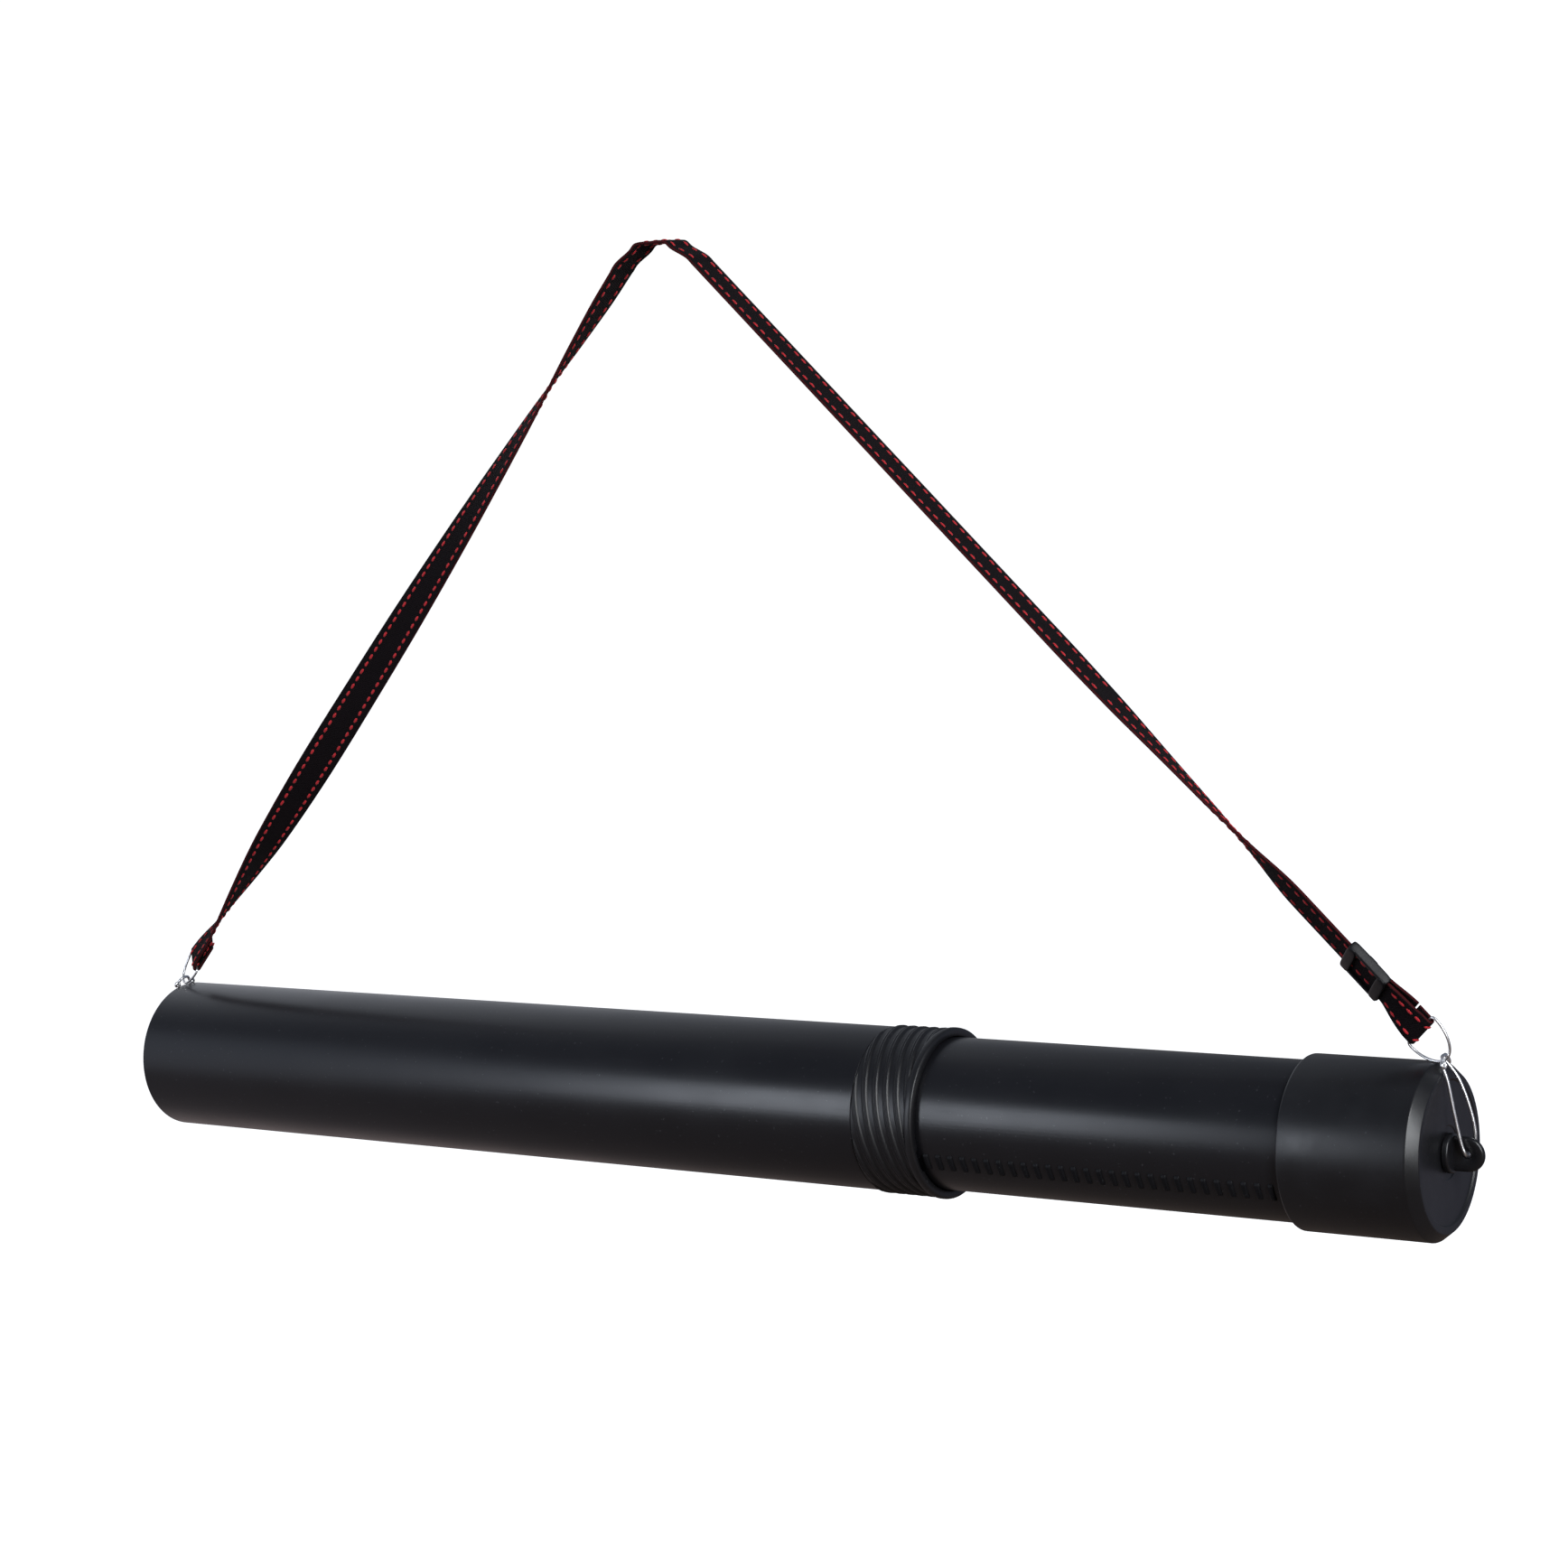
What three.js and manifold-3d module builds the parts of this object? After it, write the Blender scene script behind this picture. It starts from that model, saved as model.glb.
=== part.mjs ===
// Telescopic drawing tube with a carrying strap, in millimetres, +Z up.
// The tube lies along X, closed end towards -X and cap towards +X, and hangs from the
// top of its strap. The origin is the middle of the flat underside of the strap's top.
import * as THREE from "three";
import { mergeVertices } from "three/addons/utils/BufferGeometryUtils.js";
import Module from "manifold-3d";

const wasm = await Module();
wasm.setup();

// ---- Driving dimensions ----
// "x" is measured along the tube from the rim of its closed end.
const GAP = 0.3; // between pieces that touch
const SLIDE_GAP = 0.4; // between pieces that slide in one another
const ROUND_SIDES = 48;

const TUBE_R = 42.5; // outer tube, outside radius
const TUBE_WALL = 2;
const COLLAR_X = 498; // left edge of the lock collar
const MOUTH_X = 534.8; // right face of the lock collar
const COLLAR_LAP = 18; // length of the collar pushed over the outer tube's spigot
const COLLAR_LAP_WALL = 1;
const LIP_WIDTH = 4.6;
const LIP_PROUD = 1.5;
const GRIP_PROUD = 1.0; // the grip band between the outer tube and the lip

const INNER_R = 39.1; // inner tube, outside radius
const INNER_WALL = 1.8;
const INNER_END_X = 797;
const STOP_RING_LENGTH = 20;
const STOP_RING_DEPTH = 0.8; // how deep the stop ring's seat is turned into the tube

const RIB_PITCH = 7; // lock ribs along the inner tube
const RIB_WIDTH = 3;
const RIB_ARC = 9.9; // length of a rib round the tube
const RIB_PROUD = 0.7;
const RIB_OUT = 3.5; // first rib outside the collar, past its mouth, when the tube is at rest
const RIB_ANGLE = 114.2; // row's place round the tube, degrees from the top to the front
const OPEN_PITCHES = 32; // the tube draws out by this many rib pitches

const CAP_R = 42.5;
const CAP_LENGTH = 69.8;
const CAP_END_GAP = 1; // between the inner tube's end and the cap's inner face
const CAP_BEVEL = [5.4, 4.5]; // along the axis, and inwards
const CAP_END_WALL = 3.3;
const CAP_RECESS = 1;
const CAP_RING_WIDTH = 3.4; // raised ring left round the recessed face

const PLUG_INSET = 1; // face of the bottom plug behind the tube's rim
const PLUG_FLOOR = 3.3;
const PLUG_DEPTH = 15;
const PLUG_WALL = 2;

const STEM_R = 4.2; // swivel eyes
const BOSS_R = 9.5;
const BOSS_HEIGHT = 3;
const HEAD_R = 5.4;
const HEAD_HEIGHT = 2;
const WASHER_R = 9;
const WASHER_THICK = 1.7;
const TAB_THICK = 3.6;
const TAB_R = 8.4;
const EYE_REACH = 9.7; // hole of the eye in front of the face it turns on
const EYE_HOLE_R = 1.6;

const WIRE_R = 0.85; // spring-wire hooks and D-rings
const HOOK_RISE = 4.1; // height of a hook's cross bar over the tube
const HOOK_LEANS = { bottom: 8, cap: 9.5 }; // how far a cross bar leans in over the rim
const RING_REACH = 18; // D-ring, from the hook's cross bar to its straight bar
const RING_HALF = 10.9; // half of the D-ring's straight bar
const RING_WIRE = 1.7;

const STRAP_WIDTH = 20;
const STRAP_THICK = 1.6;
const STRAP_GATHERED = 17.4; // width that the webbing is gathered to inside a D-ring
const HANG_X = 393; // strap's top over the tube
const HANG_Z = 452.7; // flat underside of the strap's top over the tube's axis
const STRAP_TOP_FLAT = 16;

const SLIDER_LENGTH = 25;
const SLIDER_RAIL = 2.2; // width of a side rail
const SLIDER_END_BAR = 4;
const SLIDER_MIDDLE_BAR = 5;
const SLIDER_BAR_HEIGHT = 1.6;
const SLIDER_AT = 37; // its middle, along the strap from the D-ring's bar

// ---- Dimensions worked out from those ----
const BORE_R = TUBE_R - TUBE_WALL;
const SPIGOT_R = TUBE_R - COLLAR_LAP_WALL;
const SPIGOT_END_X = COLLAR_X + COLLAR_LAP + GAP;
const RIB_TOP_R = INNER_R + RIB_PROUD;
const RIB_CORNER_R = Math.hypot(RIB_TOP_R, RIB_ARC / 2);
const SLOT_R = RIB_CORNER_R + 0.6;
const CHANNEL_R = SLOT_R + 0.25;
const SLOT_WIDTH = RIB_WIDTH + 2 * SLIDE_GAP;
const FLANGE_R = INNER_R + SLIDE_GAP;
const RIB_START_X = MOUTH_X + RIB_OUT;
const RIB_END_CLEAR = RIB_WIDTH / 2 + 0.5; // from a rib's middle to past its end
const FLANGE_ROOM = RIB_START_X + RIB_END_CLEAR - SPIGOT_END_X - GAP;
const LOCK_SLOTS = Math.floor(FLANGE_ROOM / RIB_PITCH) - 1;
const FLANGE_X = RIB_START_X + RIB_END_CLEAR - (LOCK_SLOTS + 1) * RIB_PITCH;
const OPEN_TRAVEL = OPEN_PITCHES * RIB_PITCH;
const STOP_RING_END_X = FLANGE_X - 0.6 - OPEN_TRAVEL;
const STOP_RING_X = STOP_RING_END_X - STOP_RING_LENGTH;
const INNER_X = STOP_RING_X - GAP;
const CAP_INNER_FACE_X = INNER_END_X + CAP_END_GAP;
const CAP_FACE_X = CAP_INNER_FACE_X + CAP_END_WALL + CAP_RECESS;
const CAP_EDGE_X = CAP_FACE_X - CAP_LENGTH; // open edge of the cap's skirt
const RIBS_OUTSIDE = Math.floor((CAP_EDGE_X - RIB_END_CLEAR - RIB_START_X) / RIB_PITCH) + 1;
const RIBS_INSIDE = Math.floor((RIB_START_X - STOP_RING_END_X - RIB_WIDTH) / RIB_PITCH);
const HOOK_TOP = Math.max(TUBE_R, CAP_R) + HOOK_RISE; // over its eye hole
const EYE_FACES = { cap: CAP_FACE_X - CAP_RECESS, bottom: PLUG_INSET };

// ---- Solids ----
function outward(geometry) {
  const clean = geometry.index ? geometry.toNonIndexed() : geometry.clone();
  clean.deleteAttribute("normal");
  clean.deleteAttribute("uv");
  const merged = mergeVertices(clean, 1e-4);
  const p = merged.attributes.position;
  const index = merged.index.array;
  const [a, b, c] = [new THREE.Vector3(), new THREE.Vector3(), new THREE.Vector3()];
  let volume = 0;
  for (let i = 0; i < index.length; i += 3) {
    a.fromBufferAttribute(p, index[i]);
    b.fromBufferAttribute(p, index[i + 1]);
    c.fromBufferAttribute(p, index[i + 2]);
    volume += a.dot(b.cross(c));
  }
  if (volume < 0) {
    for (let i = 0; i < index.length; i += 3) {
      [index[i + 1], index[i + 2]] = [index[i + 2], index[i + 1]];
    }
  }
  return merged;
}

function solid(geometry) {
  const g = outward(geometry);
  return new wasm.Manifold(
    new wasm.Mesh({
      numProp: 3,
      vertProperties: new Float32Array(g.attributes.position.array),
      triVerts: new Uint32Array(g.index.array),
    }),
  );
}

function geometryOf(made) {
  const mesh = made.getMesh();
  const position = new Float32Array(mesh.numVert * 3);
  for (let i = 0; i < mesh.numVert; i++) {
    position.set(mesh.vertProperties.subarray(i * mesh.numProp, i * mesh.numProp + 3), i * 3);
  }
  return new THREE.BufferGeometry()
    .setAttribute("position", new THREE.BufferAttribute(position, 3))
    .setIndex(new THREE.BufferAttribute(new Uint32Array(mesh.triVerts), 1));
}

const join = (first, ...rest) =>
  geometryOf(rest.reduce((sum, g) => sum.add(solid(g)), solid(first)));
const cut = (first, ...rest) =>
  geometryOf(rest.reduce((sum, g) => sum.subtract(solid(g)), solid(first)));

// A closed profile of [radius, x] points turned about the tube's axis.
function turned(profile, start = 0, sides = ROUND_SIDES) {
  const points = [...profile, profile[0]].map(([r, x]) => new THREE.Vector2(r, x));
  return new THREE.LatheGeometry(points, sides, start).rotateZ(-Math.PI / 2);
}

// A box on the tube: along x, its length round the tube and its radial reach.
function blockOnTube(x, along, round, fromR, toR, angle) {
  return new THREE.BoxGeometry(along, round, toR - fromR)
    .translate(x, 0, (fromR + toR) / 2)
    .rotateX(THREE.MathUtils.degToRad(angle));
}

// ---- Tubes, collar, cap and plug ----
function outerTube() {
  return turned([
    [BORE_R, 0],
    [TUBE_R - 0.6, 0],
    [TUBE_R, 0.6],
    [TUBE_R, COLLAR_X],
    [SPIGOT_R, COLLAR_X],
    [SPIGOT_R, SPIGOT_END_X - GAP],
    [BORE_R, SPIGOT_END_X - GAP],
  ]);
}

function bottomPlug() {
  const r = BORE_R - GAP;
  return turned([
    [STEM_R + SLIDE_GAP, PLUG_INSET],
    [r, PLUG_INSET],
    [r, PLUG_INSET + PLUG_DEPTH],
    [r - PLUG_WALL, PLUG_INSET + PLUG_DEPTH],
    [r - PLUG_WALL, PLUG_INSET + PLUG_FLOOR],
    [STEM_R + SLIDE_GAP, PLUG_INSET + PLUG_FLOOR],
  ]);
}

// The collar's wall as rings of [x, radius on the wall, radius in the two channels]. The ribs
// pass through the channels, and the ring slots hold them when the tube is turned.
function collarRings() {
  const left = COLLAR_X + GAP;
  const lipX = MOUTH_X - LIP_WIDTH;
  const lipR = TUBE_R + LIP_PROUD;
  const gripR = TUBE_R + GRIP_PROUD;
  const socket = SPIGOT_R + GAP;
  const around = (x, r) => [x, r, r];
  const rings = [
    around(SPIGOT_END_X, socket),
    around(left, socket),
    around(left, TUBE_R),
    around(left + GRIP_PROUD, gripR),
    around(lipX, gripR),
    around(lipX + 0.4, lipR),
    around(MOUTH_X - 0.8, lipR),
    around(MOUTH_X, lipR - 0.8),
    [MOUTH_X, FLANGE_R, CHANNEL_R],
  ];
  for (let i = 1; i <= LOCK_SLOTS; i++) {
    const x = RIB_START_X - i * RIB_PITCH;
    const [near, far] = [x + SLOT_WIDTH / 2, x - SLOT_WIDTH / 2];
    rings.push(
      [near, FLANGE_R, CHANNEL_R],
      [near, SLOT_R, CHANNEL_R + 0.3],
      [far, SLOT_R, CHANNEL_R + 0.3],
      [far, FLANGE_R, CHANNEL_R],
    );
  }
  rings.push([FLANGE_X, FLANGE_R, CHANNEL_R], around(FLANGE_X, socket));
  return rings;
}

function lockCollar() {
  const rings = collarRings();
  const position = [];
  for (const [x, wall, channel] of rings) {
    for (let k = 0; k < ROUND_SIDES; k++) {
      const r = (k + 1) % (ROUND_SIDES / 2) <= 2 ? channel : wall;
      const a = (2 * Math.PI * k) / ROUND_SIDES + THREE.MathUtils.degToRad(RIB_ANGLE);
      position.push(x, -r * Math.sin(a), r * Math.cos(a));
    }
  }
  const index = [];
  for (let i = 0; i < rings.length; i++) {
    const next = (i + 1) % rings.length;
    for (let k = 0; k < ROUND_SIDES; k++) {
      const side = (k + 1) % ROUND_SIDES;
      const [a, b] = [i * ROUND_SIDES + k, i * ROUND_SIDES + side];
      const [c, d] = [next * ROUND_SIDES + k, next * ROUND_SIDES + side];
      index.push(a, b, c, b, d, c);
    }
  }
  return new THREE.BufferGeometry()
    .setAttribute("position", new THREE.Float32BufferAttribute(position, 3))
    .setIndex(index);
}

function innerTube() {
  const seat = INNER_R - STOP_RING_DEPTH;
  const tube = turned(
    [
      [INNER_R - INNER_WALL, INNER_X],
      [seat, INNER_X],
      [seat, STOP_RING_END_X + GAP],
      [INNER_R, STOP_RING_END_X + GAP],
      [INNER_R, INNER_END_X - 0.6],
      [INNER_R - 0.6, INNER_END_X],
      [INNER_R - INNER_WALL, INNER_END_X],
    ],
    THREE.MathUtils.degToRad(RIB_ANGLE),
  );
  let sum = solid(tube);
  for (const angle of [RIB_ANGLE, RIB_ANGLE + 180]) {
    const row = [];
    for (let k = -RIBS_INSIDE; k < RIBS_OUTSIDE; k++) {
      const x = RIB_START_X + k * RIB_PITCH;
      const rib = blockOnTube(x, RIB_WIDTH, RIB_ARC, INNER_R - 1, RIB_TOP_R, angle);
      row.push(solid(rib));
    }
    sum = row.reduce((all, rib) => all.add(rib), sum);
  }
  return geometryOf(sum);
}

function stopRing() {
  const inside = INNER_R - STOP_RING_DEPTH + GAP;
  return turned([
    [inside, STOP_RING_X],
    [BORE_R - SLIDE_GAP, STOP_RING_X],
    [BORE_R - SLIDE_GAP, STOP_RING_END_X],
    [inside, STOP_RING_END_X],
  ]);
}

function endCap() {
  const bore = INNER_R + SLIDE_GAP;
  const [bevelX, bevelR] = CAP_BEVEL;
  const faceR = CAP_R - bevelR;
  const recessX = CAP_FACE_X - CAP_RECESS;
  return turned([
    [STEM_R + SLIDE_GAP, CAP_INNER_FACE_X],
    [bore, CAP_INNER_FACE_X],
    [bore, CAP_EDGE_X],
    [CAP_R - 1, CAP_EDGE_X],
    [CAP_R, CAP_EDGE_X + 1],
    [CAP_R, CAP_FACE_X - bevelX],
    [faceR, CAP_FACE_X],
    [faceR - CAP_RING_WIDTH, CAP_FACE_X],
    [faceR - CAP_RING_WIDTH - CAP_RECESS, recessX],
    [STEM_R + SLIDE_GAP, recessX],
  ]);
}

// ---- Swivel eyes: a boss and tab outside, a stem through the wall, a snap head inside ----
function swivelEye(faceX, wall, out) {
  const at = (distance) => faceX + out * distance;
  const headX = -(wall + GAP + WASHER_THICK + GAP);
  const spindle = turned(
    [
      [0, at(headX - HEAD_HEIGHT)],
      [HEAD_R, at(headX - HEAD_HEIGHT)],
      [HEAD_R, at(headX)],
      [STEM_R, at(headX)],
      [STEM_R, at(GAP)],
      [BOSS_R, at(GAP)],
      [BOSS_R, at(GAP + BOSS_HEIGHT - 0.8)],
      [BOSS_R - 0.8, at(GAP + BOSS_HEIGHT)],
      [0, at(GAP + BOSS_HEIGHT)],
    ],
    0,
    24,
  );
  const foot = EYE_REACH - BOSS_HEIGHT;
  const outline = new THREE.Shape()
    .moveTo(-foot, -TAB_R)
    .lineTo(0, -TAB_R)
    .absarc(0, 0, TAB_R, -Math.PI / 2, Math.PI / 2, false)
    .lineTo(-foot, TAB_R)
    .closePath();
  outline.holes.push(new THREE.Path().absarc(0, 0, EYE_HOLE_R, 0, 2 * Math.PI, true));
  const tab = new THREE.ExtrudeGeometry(outline, {
    depth: TAB_THICK,
    bevelEnabled: false,
    curveSegments: 10,
  });
  tab.rotateX(Math.PI / 2).translate(0, TAB_THICK / 2, 0);
  tab.scale(out, 1, 1).translate(at(EYE_REACH), 0, 0);
  return join(spindle, tab);
}

function eyeWasher(faceX, wall, out) {
  const inner = faceX - out * (wall + GAP);
  const outer = inner - out * WASHER_THICK;
  const hole = STEM_R + GAP;
  return turned(
    [
      [hole, inner],
      [WASHER_R, inner],
      [WASHER_R, outer],
      [hole, outer],
    ],
    0,
    24,
  );
}

// ---- Hooks and D-rings ----
function wire(points, radius) {
  const curve = new THREE.CatmullRomCurve3(points, false, "centripetal");
  const section = new THREE.Shape().absarc(0, 0, radius, 0, 2 * Math.PI, false);
  return new THREE.ExtrudeGeometry(section, {
    extrudePath: curve,
    steps: 44,
    curveSegments: 4,
    bevelEnabled: false,
  });
}

// One wire from a side of the eye's hole up, across under the D-ring's arc and down the back.
function hook(holeX, out, lean) {
  const half = 4.5; // half of the cross bar
  const route = [
    [0, -0.6, 0],
    [0, -TAB_THICK / 2 - WIRE_R - 0.7, 0.2],
    [-0.13 * lean, -half + 0.4, 5],
    [-0.42 * lean, -half, 20],
    [-0.7 * lean, -half, 36],
    [-0.93 * lean, -half, HOOK_TOP - 3.2],
    [-lean, -half + 2, HOOK_TOP - 0.4],
    [-lean, 0, HOOK_TOP],
    [-0.97 * lean, half - 2, HOOK_TOP - 0.4],
    [-0.86 * lean, half, HOOK_TOP - 3.2],
    [-0.46 * lean, half, 34],
    [0.8, half, 18],
    [2.2, half - 0.4, 7],
    [0, TAB_THICK / 2 + WIRE_R + 0.7, 0.2],
    [0, 0.6, 0],
  ];
  return wire(route.map(([x, y, z]) => new THREE.Vector3(holeX + out * x, y, z)), WIRE_R);
}

// ---- The strap ----
// Each leg is straight from its D-ring's bar to the top, and twists on the way.
// A twist of 0 lays the webbing's width along Y, with its outer face up.
const HOOK_BARS = {
  left: new THREE.Vector3(EYE_FACES.bottom - EYE_REACH + HOOK_LEANS.bottom, 0, HOOK_TOP),
  right: new THREE.Vector3(EYE_FACES.cap + EYE_REACH - HOOK_LEANS.cap, 0, HOOK_TOP),
};
const TOP_CORNERS = {
  left: new THREE.Vector3(HANG_X - 15, 0, HANG_Z - 0.5),
  right: new THREE.Vector3(HANG_X + 15, 0, HANG_Z - 0.5),
};
// [distance from the D-ring's bar, twist in degrees]
const TWISTS = {
  left: [
    [0, 233],
    [47, 198],
    [98, 159],
    [165, 124],
    [207, 108],
    [270, 92],
    [351, 66],
    [427, 38],
    [466, 18],
    [502, 3],
    [532, 0],
  ],
  right: [
    [0, -76],
    [4, -76],
    [22, -46],
    [91, -46],
    [113, -32],
    [140, -20],
    [176, -13],
    [211, -4],
    [247, 0],
  ],
};

function legOf(side) {
  const hookBar = HOOK_BARS[side];
  const along = TOP_CORNERS[side].clone().sub(hookBar).normalize();
  const bar = hookBar.clone().addScaledVector(along, RING_REACH - WIRE_R - RING_WIRE / 2 - GAP);
  const length = TOP_CORNERS[side].distanceTo(bar);
  const up = new THREE.Vector3(-along.z, 0, along.x);
  if (up.z < 0) up.negate();
  return { along, bar, length, up, twists: TWISTS[side] };
}
const LEGS = { left: legOf("left"), right: legOf("right") };

function twistAt(twists, s) {
  const last = twists.length - 1;
  if (s <= twists[0][0]) return twists[0][1];
  if (s >= twists[last][0]) return twists[last][1];
  const i = twists.findIndex(([at]) => at > s) - 1;
  const [[s0, t0], [s1, t1]] = [twists[i], twists[i + 1]];
  const u = (s - s0) / (s1 - s0);
  return t0 + (t1 - t0) * u;
}

// The webbing's frame on a leg: face normal and width direction.
function legFrame(leg, s) {
  const a = THREE.MathUtils.degToRad(twistAt(leg.twists, s));
  const front = new THREE.Vector3(0, -1, 0);
  const face = leg.up.clone().multiplyScalar(Math.cos(a)).addScaledVector(front, Math.sin(a));
  const width = leg.up.clone().multiplyScalar(Math.sin(a)).addScaledVector(front, -Math.cos(a));
  const spread = THREE.MathUtils.smoothstep(s, 3, 20);
  const wide = STRAP_GATHERED + (STRAP_WIDTH - STRAP_GATHERED) * spread;
  return { at: leg.bar.clone().addScaledVector(leg.along, s), face, width, wide };
}

// A flat closed band through frames, each with a place, a face normal and a width direction.
function band(frames) {
  const position = [];
  for (const frame of frames) {
    const wide = frame.wide ?? STRAP_WIDTH;
    for (const [w, t] of [[-1, -1], [1, -1], [1, 1], [-1, 1]]) {
      const p = frame.at.clone();
      p.addScaledVector(frame.width, (w * wide) / 2);
      p.addScaledVector(frame.face, (t * STRAP_THICK) / 2);
      position.push(p.x, p.y, p.z);
    }
  }
  const index = [0, 1, 2, 0, 2, 3];
  const end = 4 * (frames.length - 1);
  for (let i = 0; i < end; i += 4) {
    for (let k = 0; k < 4; k++) {
      const n = (k + 1) % 4;
      index.push(i + k, i + 4 + k, i + 4 + n, i + k, i + 4 + n, i + n);
    }
  }
  index.push(end, end + 2, end + 1, end, end + 3, end + 2);
  const g = new THREE.BufferGeometry()
    .setAttribute("position", new THREE.Float32BufferAttribute(position, 3))
    .setIndex(index);
  return g;
}

function legBand(side, from, to, step = 12, lift = 0) {
  const leg = LEGS[side];
  const count = Math.max(2, Math.round((to - from) / step));
  const frames = [];
  for (let i = 0; i <= count; i++) {
    const frame = legFrame(leg, from + ((to - from) * i) / count);
    frame.at.addScaledVector(frame.face, lift);
    frames.push(frame);
  }
  return band(frames);
}

// The end of a leg, turned back round the D-ring's bar.
function turnRound(side, from, returnTo) {
  const leg = LEGS[side];
  const r = RING_WIRE * Math.SQRT1_2 + GAP + STRAP_THICK / 2;
  const frames = [];
  const straight = 5;
  for (let i = 0; i <= straight; i++) {
    const s = from + ((4 - from) * i) / straight;
    const frame = legFrame(leg, s);
    frame.at.addScaledVector(frame.face, -r * Math.min(1, (from - s) / (from - 4)));
    frames.push(frame);
  }
  const { face, width, wide } = legFrame(leg, 0);
  for (let i = 0; i <= 8; i++) {
    const a = (Math.PI * i) / 8;
    const out = face.clone().multiplyScalar(-Math.cos(a)).addScaledVector(leg.along, -Math.sin(a));
    frames.push({ at: leg.bar.clone().addScaledVector(out, r), face: out.negate(), width, wide });
  }
  const end = leg.bar.clone().addScaledVector(face, r).addScaledVector(leg.along, returnTo);
  frames.push({ at: end, face: face.clone().negate(), width, wide });
  return band(frames);
}

function strapTop() {
  const ends = { left: LEGS.left.length - 16, right: LEGS.right.length - 16 };
  const width = new THREE.Vector3(0, -1, 0);
  const frameAt = (x, z, lean) => {
    const face = new THREE.Vector3(Math.sin(lean), 0, Math.cos(lean));
    return { at: new THREE.Vector3(x, 0, z), face, width };
  };
  const middle = HANG_Z + STRAP_THICK / 2;
  const half = STRAP_TOP_FLAT / 2;
  const start = legFrame(LEGS.left, ends.left + GAP).at;
  const finish = legFrame(LEGS.right, ends.right + GAP).at;
  return band([
    frameAt(start.x, start.z, -0.82),
    frameAt(HANG_X - half - 5.5, middle - 3.4, -0.72),
    frameAt(HANG_X - half - 2, middle - 0.6, -0.35),
    frameAt(HANG_X - half, middle, 0),
    frameAt(HANG_X + half, middle, 0),
    frameAt(HANG_X + half + 2, middle - 0.6, 0.35),
    frameAt(HANG_X + half + 5.5, middle - 3.4, 0.72),
    frameAt(finish.x, finish.z, 0.79),
  ]);
}

// A D-ring in the plane of its leg and the webbing's width.
function dRing(side) {
  const leg = LEGS[side];
  const { width } = legFrame(leg, 0);
  const [h, w] = [RING_HALF, RING_WIRE];
  const outline = (inset, depth) => {
    const [side, top, foot] = [h - inset, RING_REACH + w / 2 - inset, inset - w / 2];
    const shape = new THREE.Shape()
      .moveTo(-side, top)
      .lineTo(side, top)
      .bezierCurveTo(side, 8, 6, foot, 0, foot)
      .bezierCurveTo(-6, foot, -side, 8, -side, top);
    return new THREE.ExtrudeGeometry(shape, { depth, bevelEnabled: false, curveSegments: 8 })
      .translate(0, 0, -depth / 2);
  };
  const across = new THREE.Vector3().crossVectors(width, leg.along);
  const foot = leg.bar.clone().addScaledVector(leg.along, -RING_REACH);
  const basis = new THREE.Matrix4().makeBasis(width, leg.along, across).setPosition(foot);
  return cut(outline(0, w), outline(w, 3 * w)).applyMatrix4(basis);
}

// Slider on the right leg: two end bars under the webbing and a middle bar over it.
function strapSlider() {
  const leg = LEGS.right;
  const { at, face } = legFrame(leg, SLIDER_AT);
  const clear = STRAP_THICK / 2 + SLIDE_GAP;
  const reach = clear + SLIDER_BAR_HEIGHT;
  const inside = STRAP_WIDTH / 2 + GAP;
  const span = 2 * (inside + SLIDER_RAIL);
  const middle = clear + SLIDER_BAR_HEIGHT / 2;
  const endX = (SLIDER_LENGTH - SLIDER_END_BAR) / 2;
  const box = (along, across, high, x, y, z) =>
    new THREE.BoxGeometry(along, across, high).translate(x, y, z);
  const g = join(
    box(SLIDER_LENGTH, SLIDER_RAIL, 2 * reach, 0, inside + SLIDER_RAIL / 2, 0),
    box(SLIDER_LENGTH, SLIDER_RAIL, 2 * reach, 0, -inside - SLIDER_RAIL / 2, 0),
    box(SLIDER_END_BAR, span, SLIDER_BAR_HEIGHT, endX, 0, -middle),
    box(SLIDER_END_BAR, span, SLIDER_BAR_HEIGHT, -endX, 0, -middle),
    box(SLIDER_MIDDLE_BAR, span, SLIDER_BAR_HEIGHT, 0, 0, middle),
  );
  const across = new THREE.Vector3().crossVectors(face, leg.along);
  return g.applyMatrix4(new THREE.Matrix4().makeBasis(leg.along, across, face).setPosition(at));
}

// The webbing sewn round the slider's middle bar, running back to the D-ring.
function strapTail() {
  const leg = LEGS.right;
  const clear = STRAP_THICK + SLIDE_GAP;
  const from = 9;
  const to = SLIDER_AT - SLIDER_MIDDLE_BAR / 2 - GAP;
  const frames = [];
  for (let i = 0; i <= 6; i++) {
    const s = from + ((to - from) * i) / 6;
    const frame = legFrame(leg, s);
    frame.at.addScaledVector(frame.face, clear + (1 - i / 6) * 0.9);
    frames.push(frame);
  }
  return band(frames);
}

// ---- Assembly ----
const blackPlastic = { color: 0x1b1b1f, roughness: 0.42, metalness: 0 };
const darkPlastic = { color: 0x121214, roughness: 0.5, metalness: 0 };
const steel = { color: 0xc9cbce, roughness: 0.22, metalness: 1 };
const webbing = { color: 0x17161a, roughness: 0.9, metalness: 0 };

const assembly = new THREE.Group();
const tube = new THREE.Group();
tube.position.set(-HANG_X, 0, -HANG_Z);
assembly.add(tube);

function add(name, geometry, look) {
  const mesh = new THREE.Mesh(outward(geometry), new THREE.MeshStandardMaterial(look));
  mesh.name = name;
  tube.add(mesh);
}

add("outer_tube", outerTube(), blackPlastic);
add("bottom_plug", bottomPlug(), blackPlastic);
add("lock_collar", lockCollar(), blackPlastic);
add("inner_tube", innerTube(), blackPlastic);
add("stop_ring", stopRing(), darkPlastic);
add("end_cap", endCap(), blackPlastic);

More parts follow.
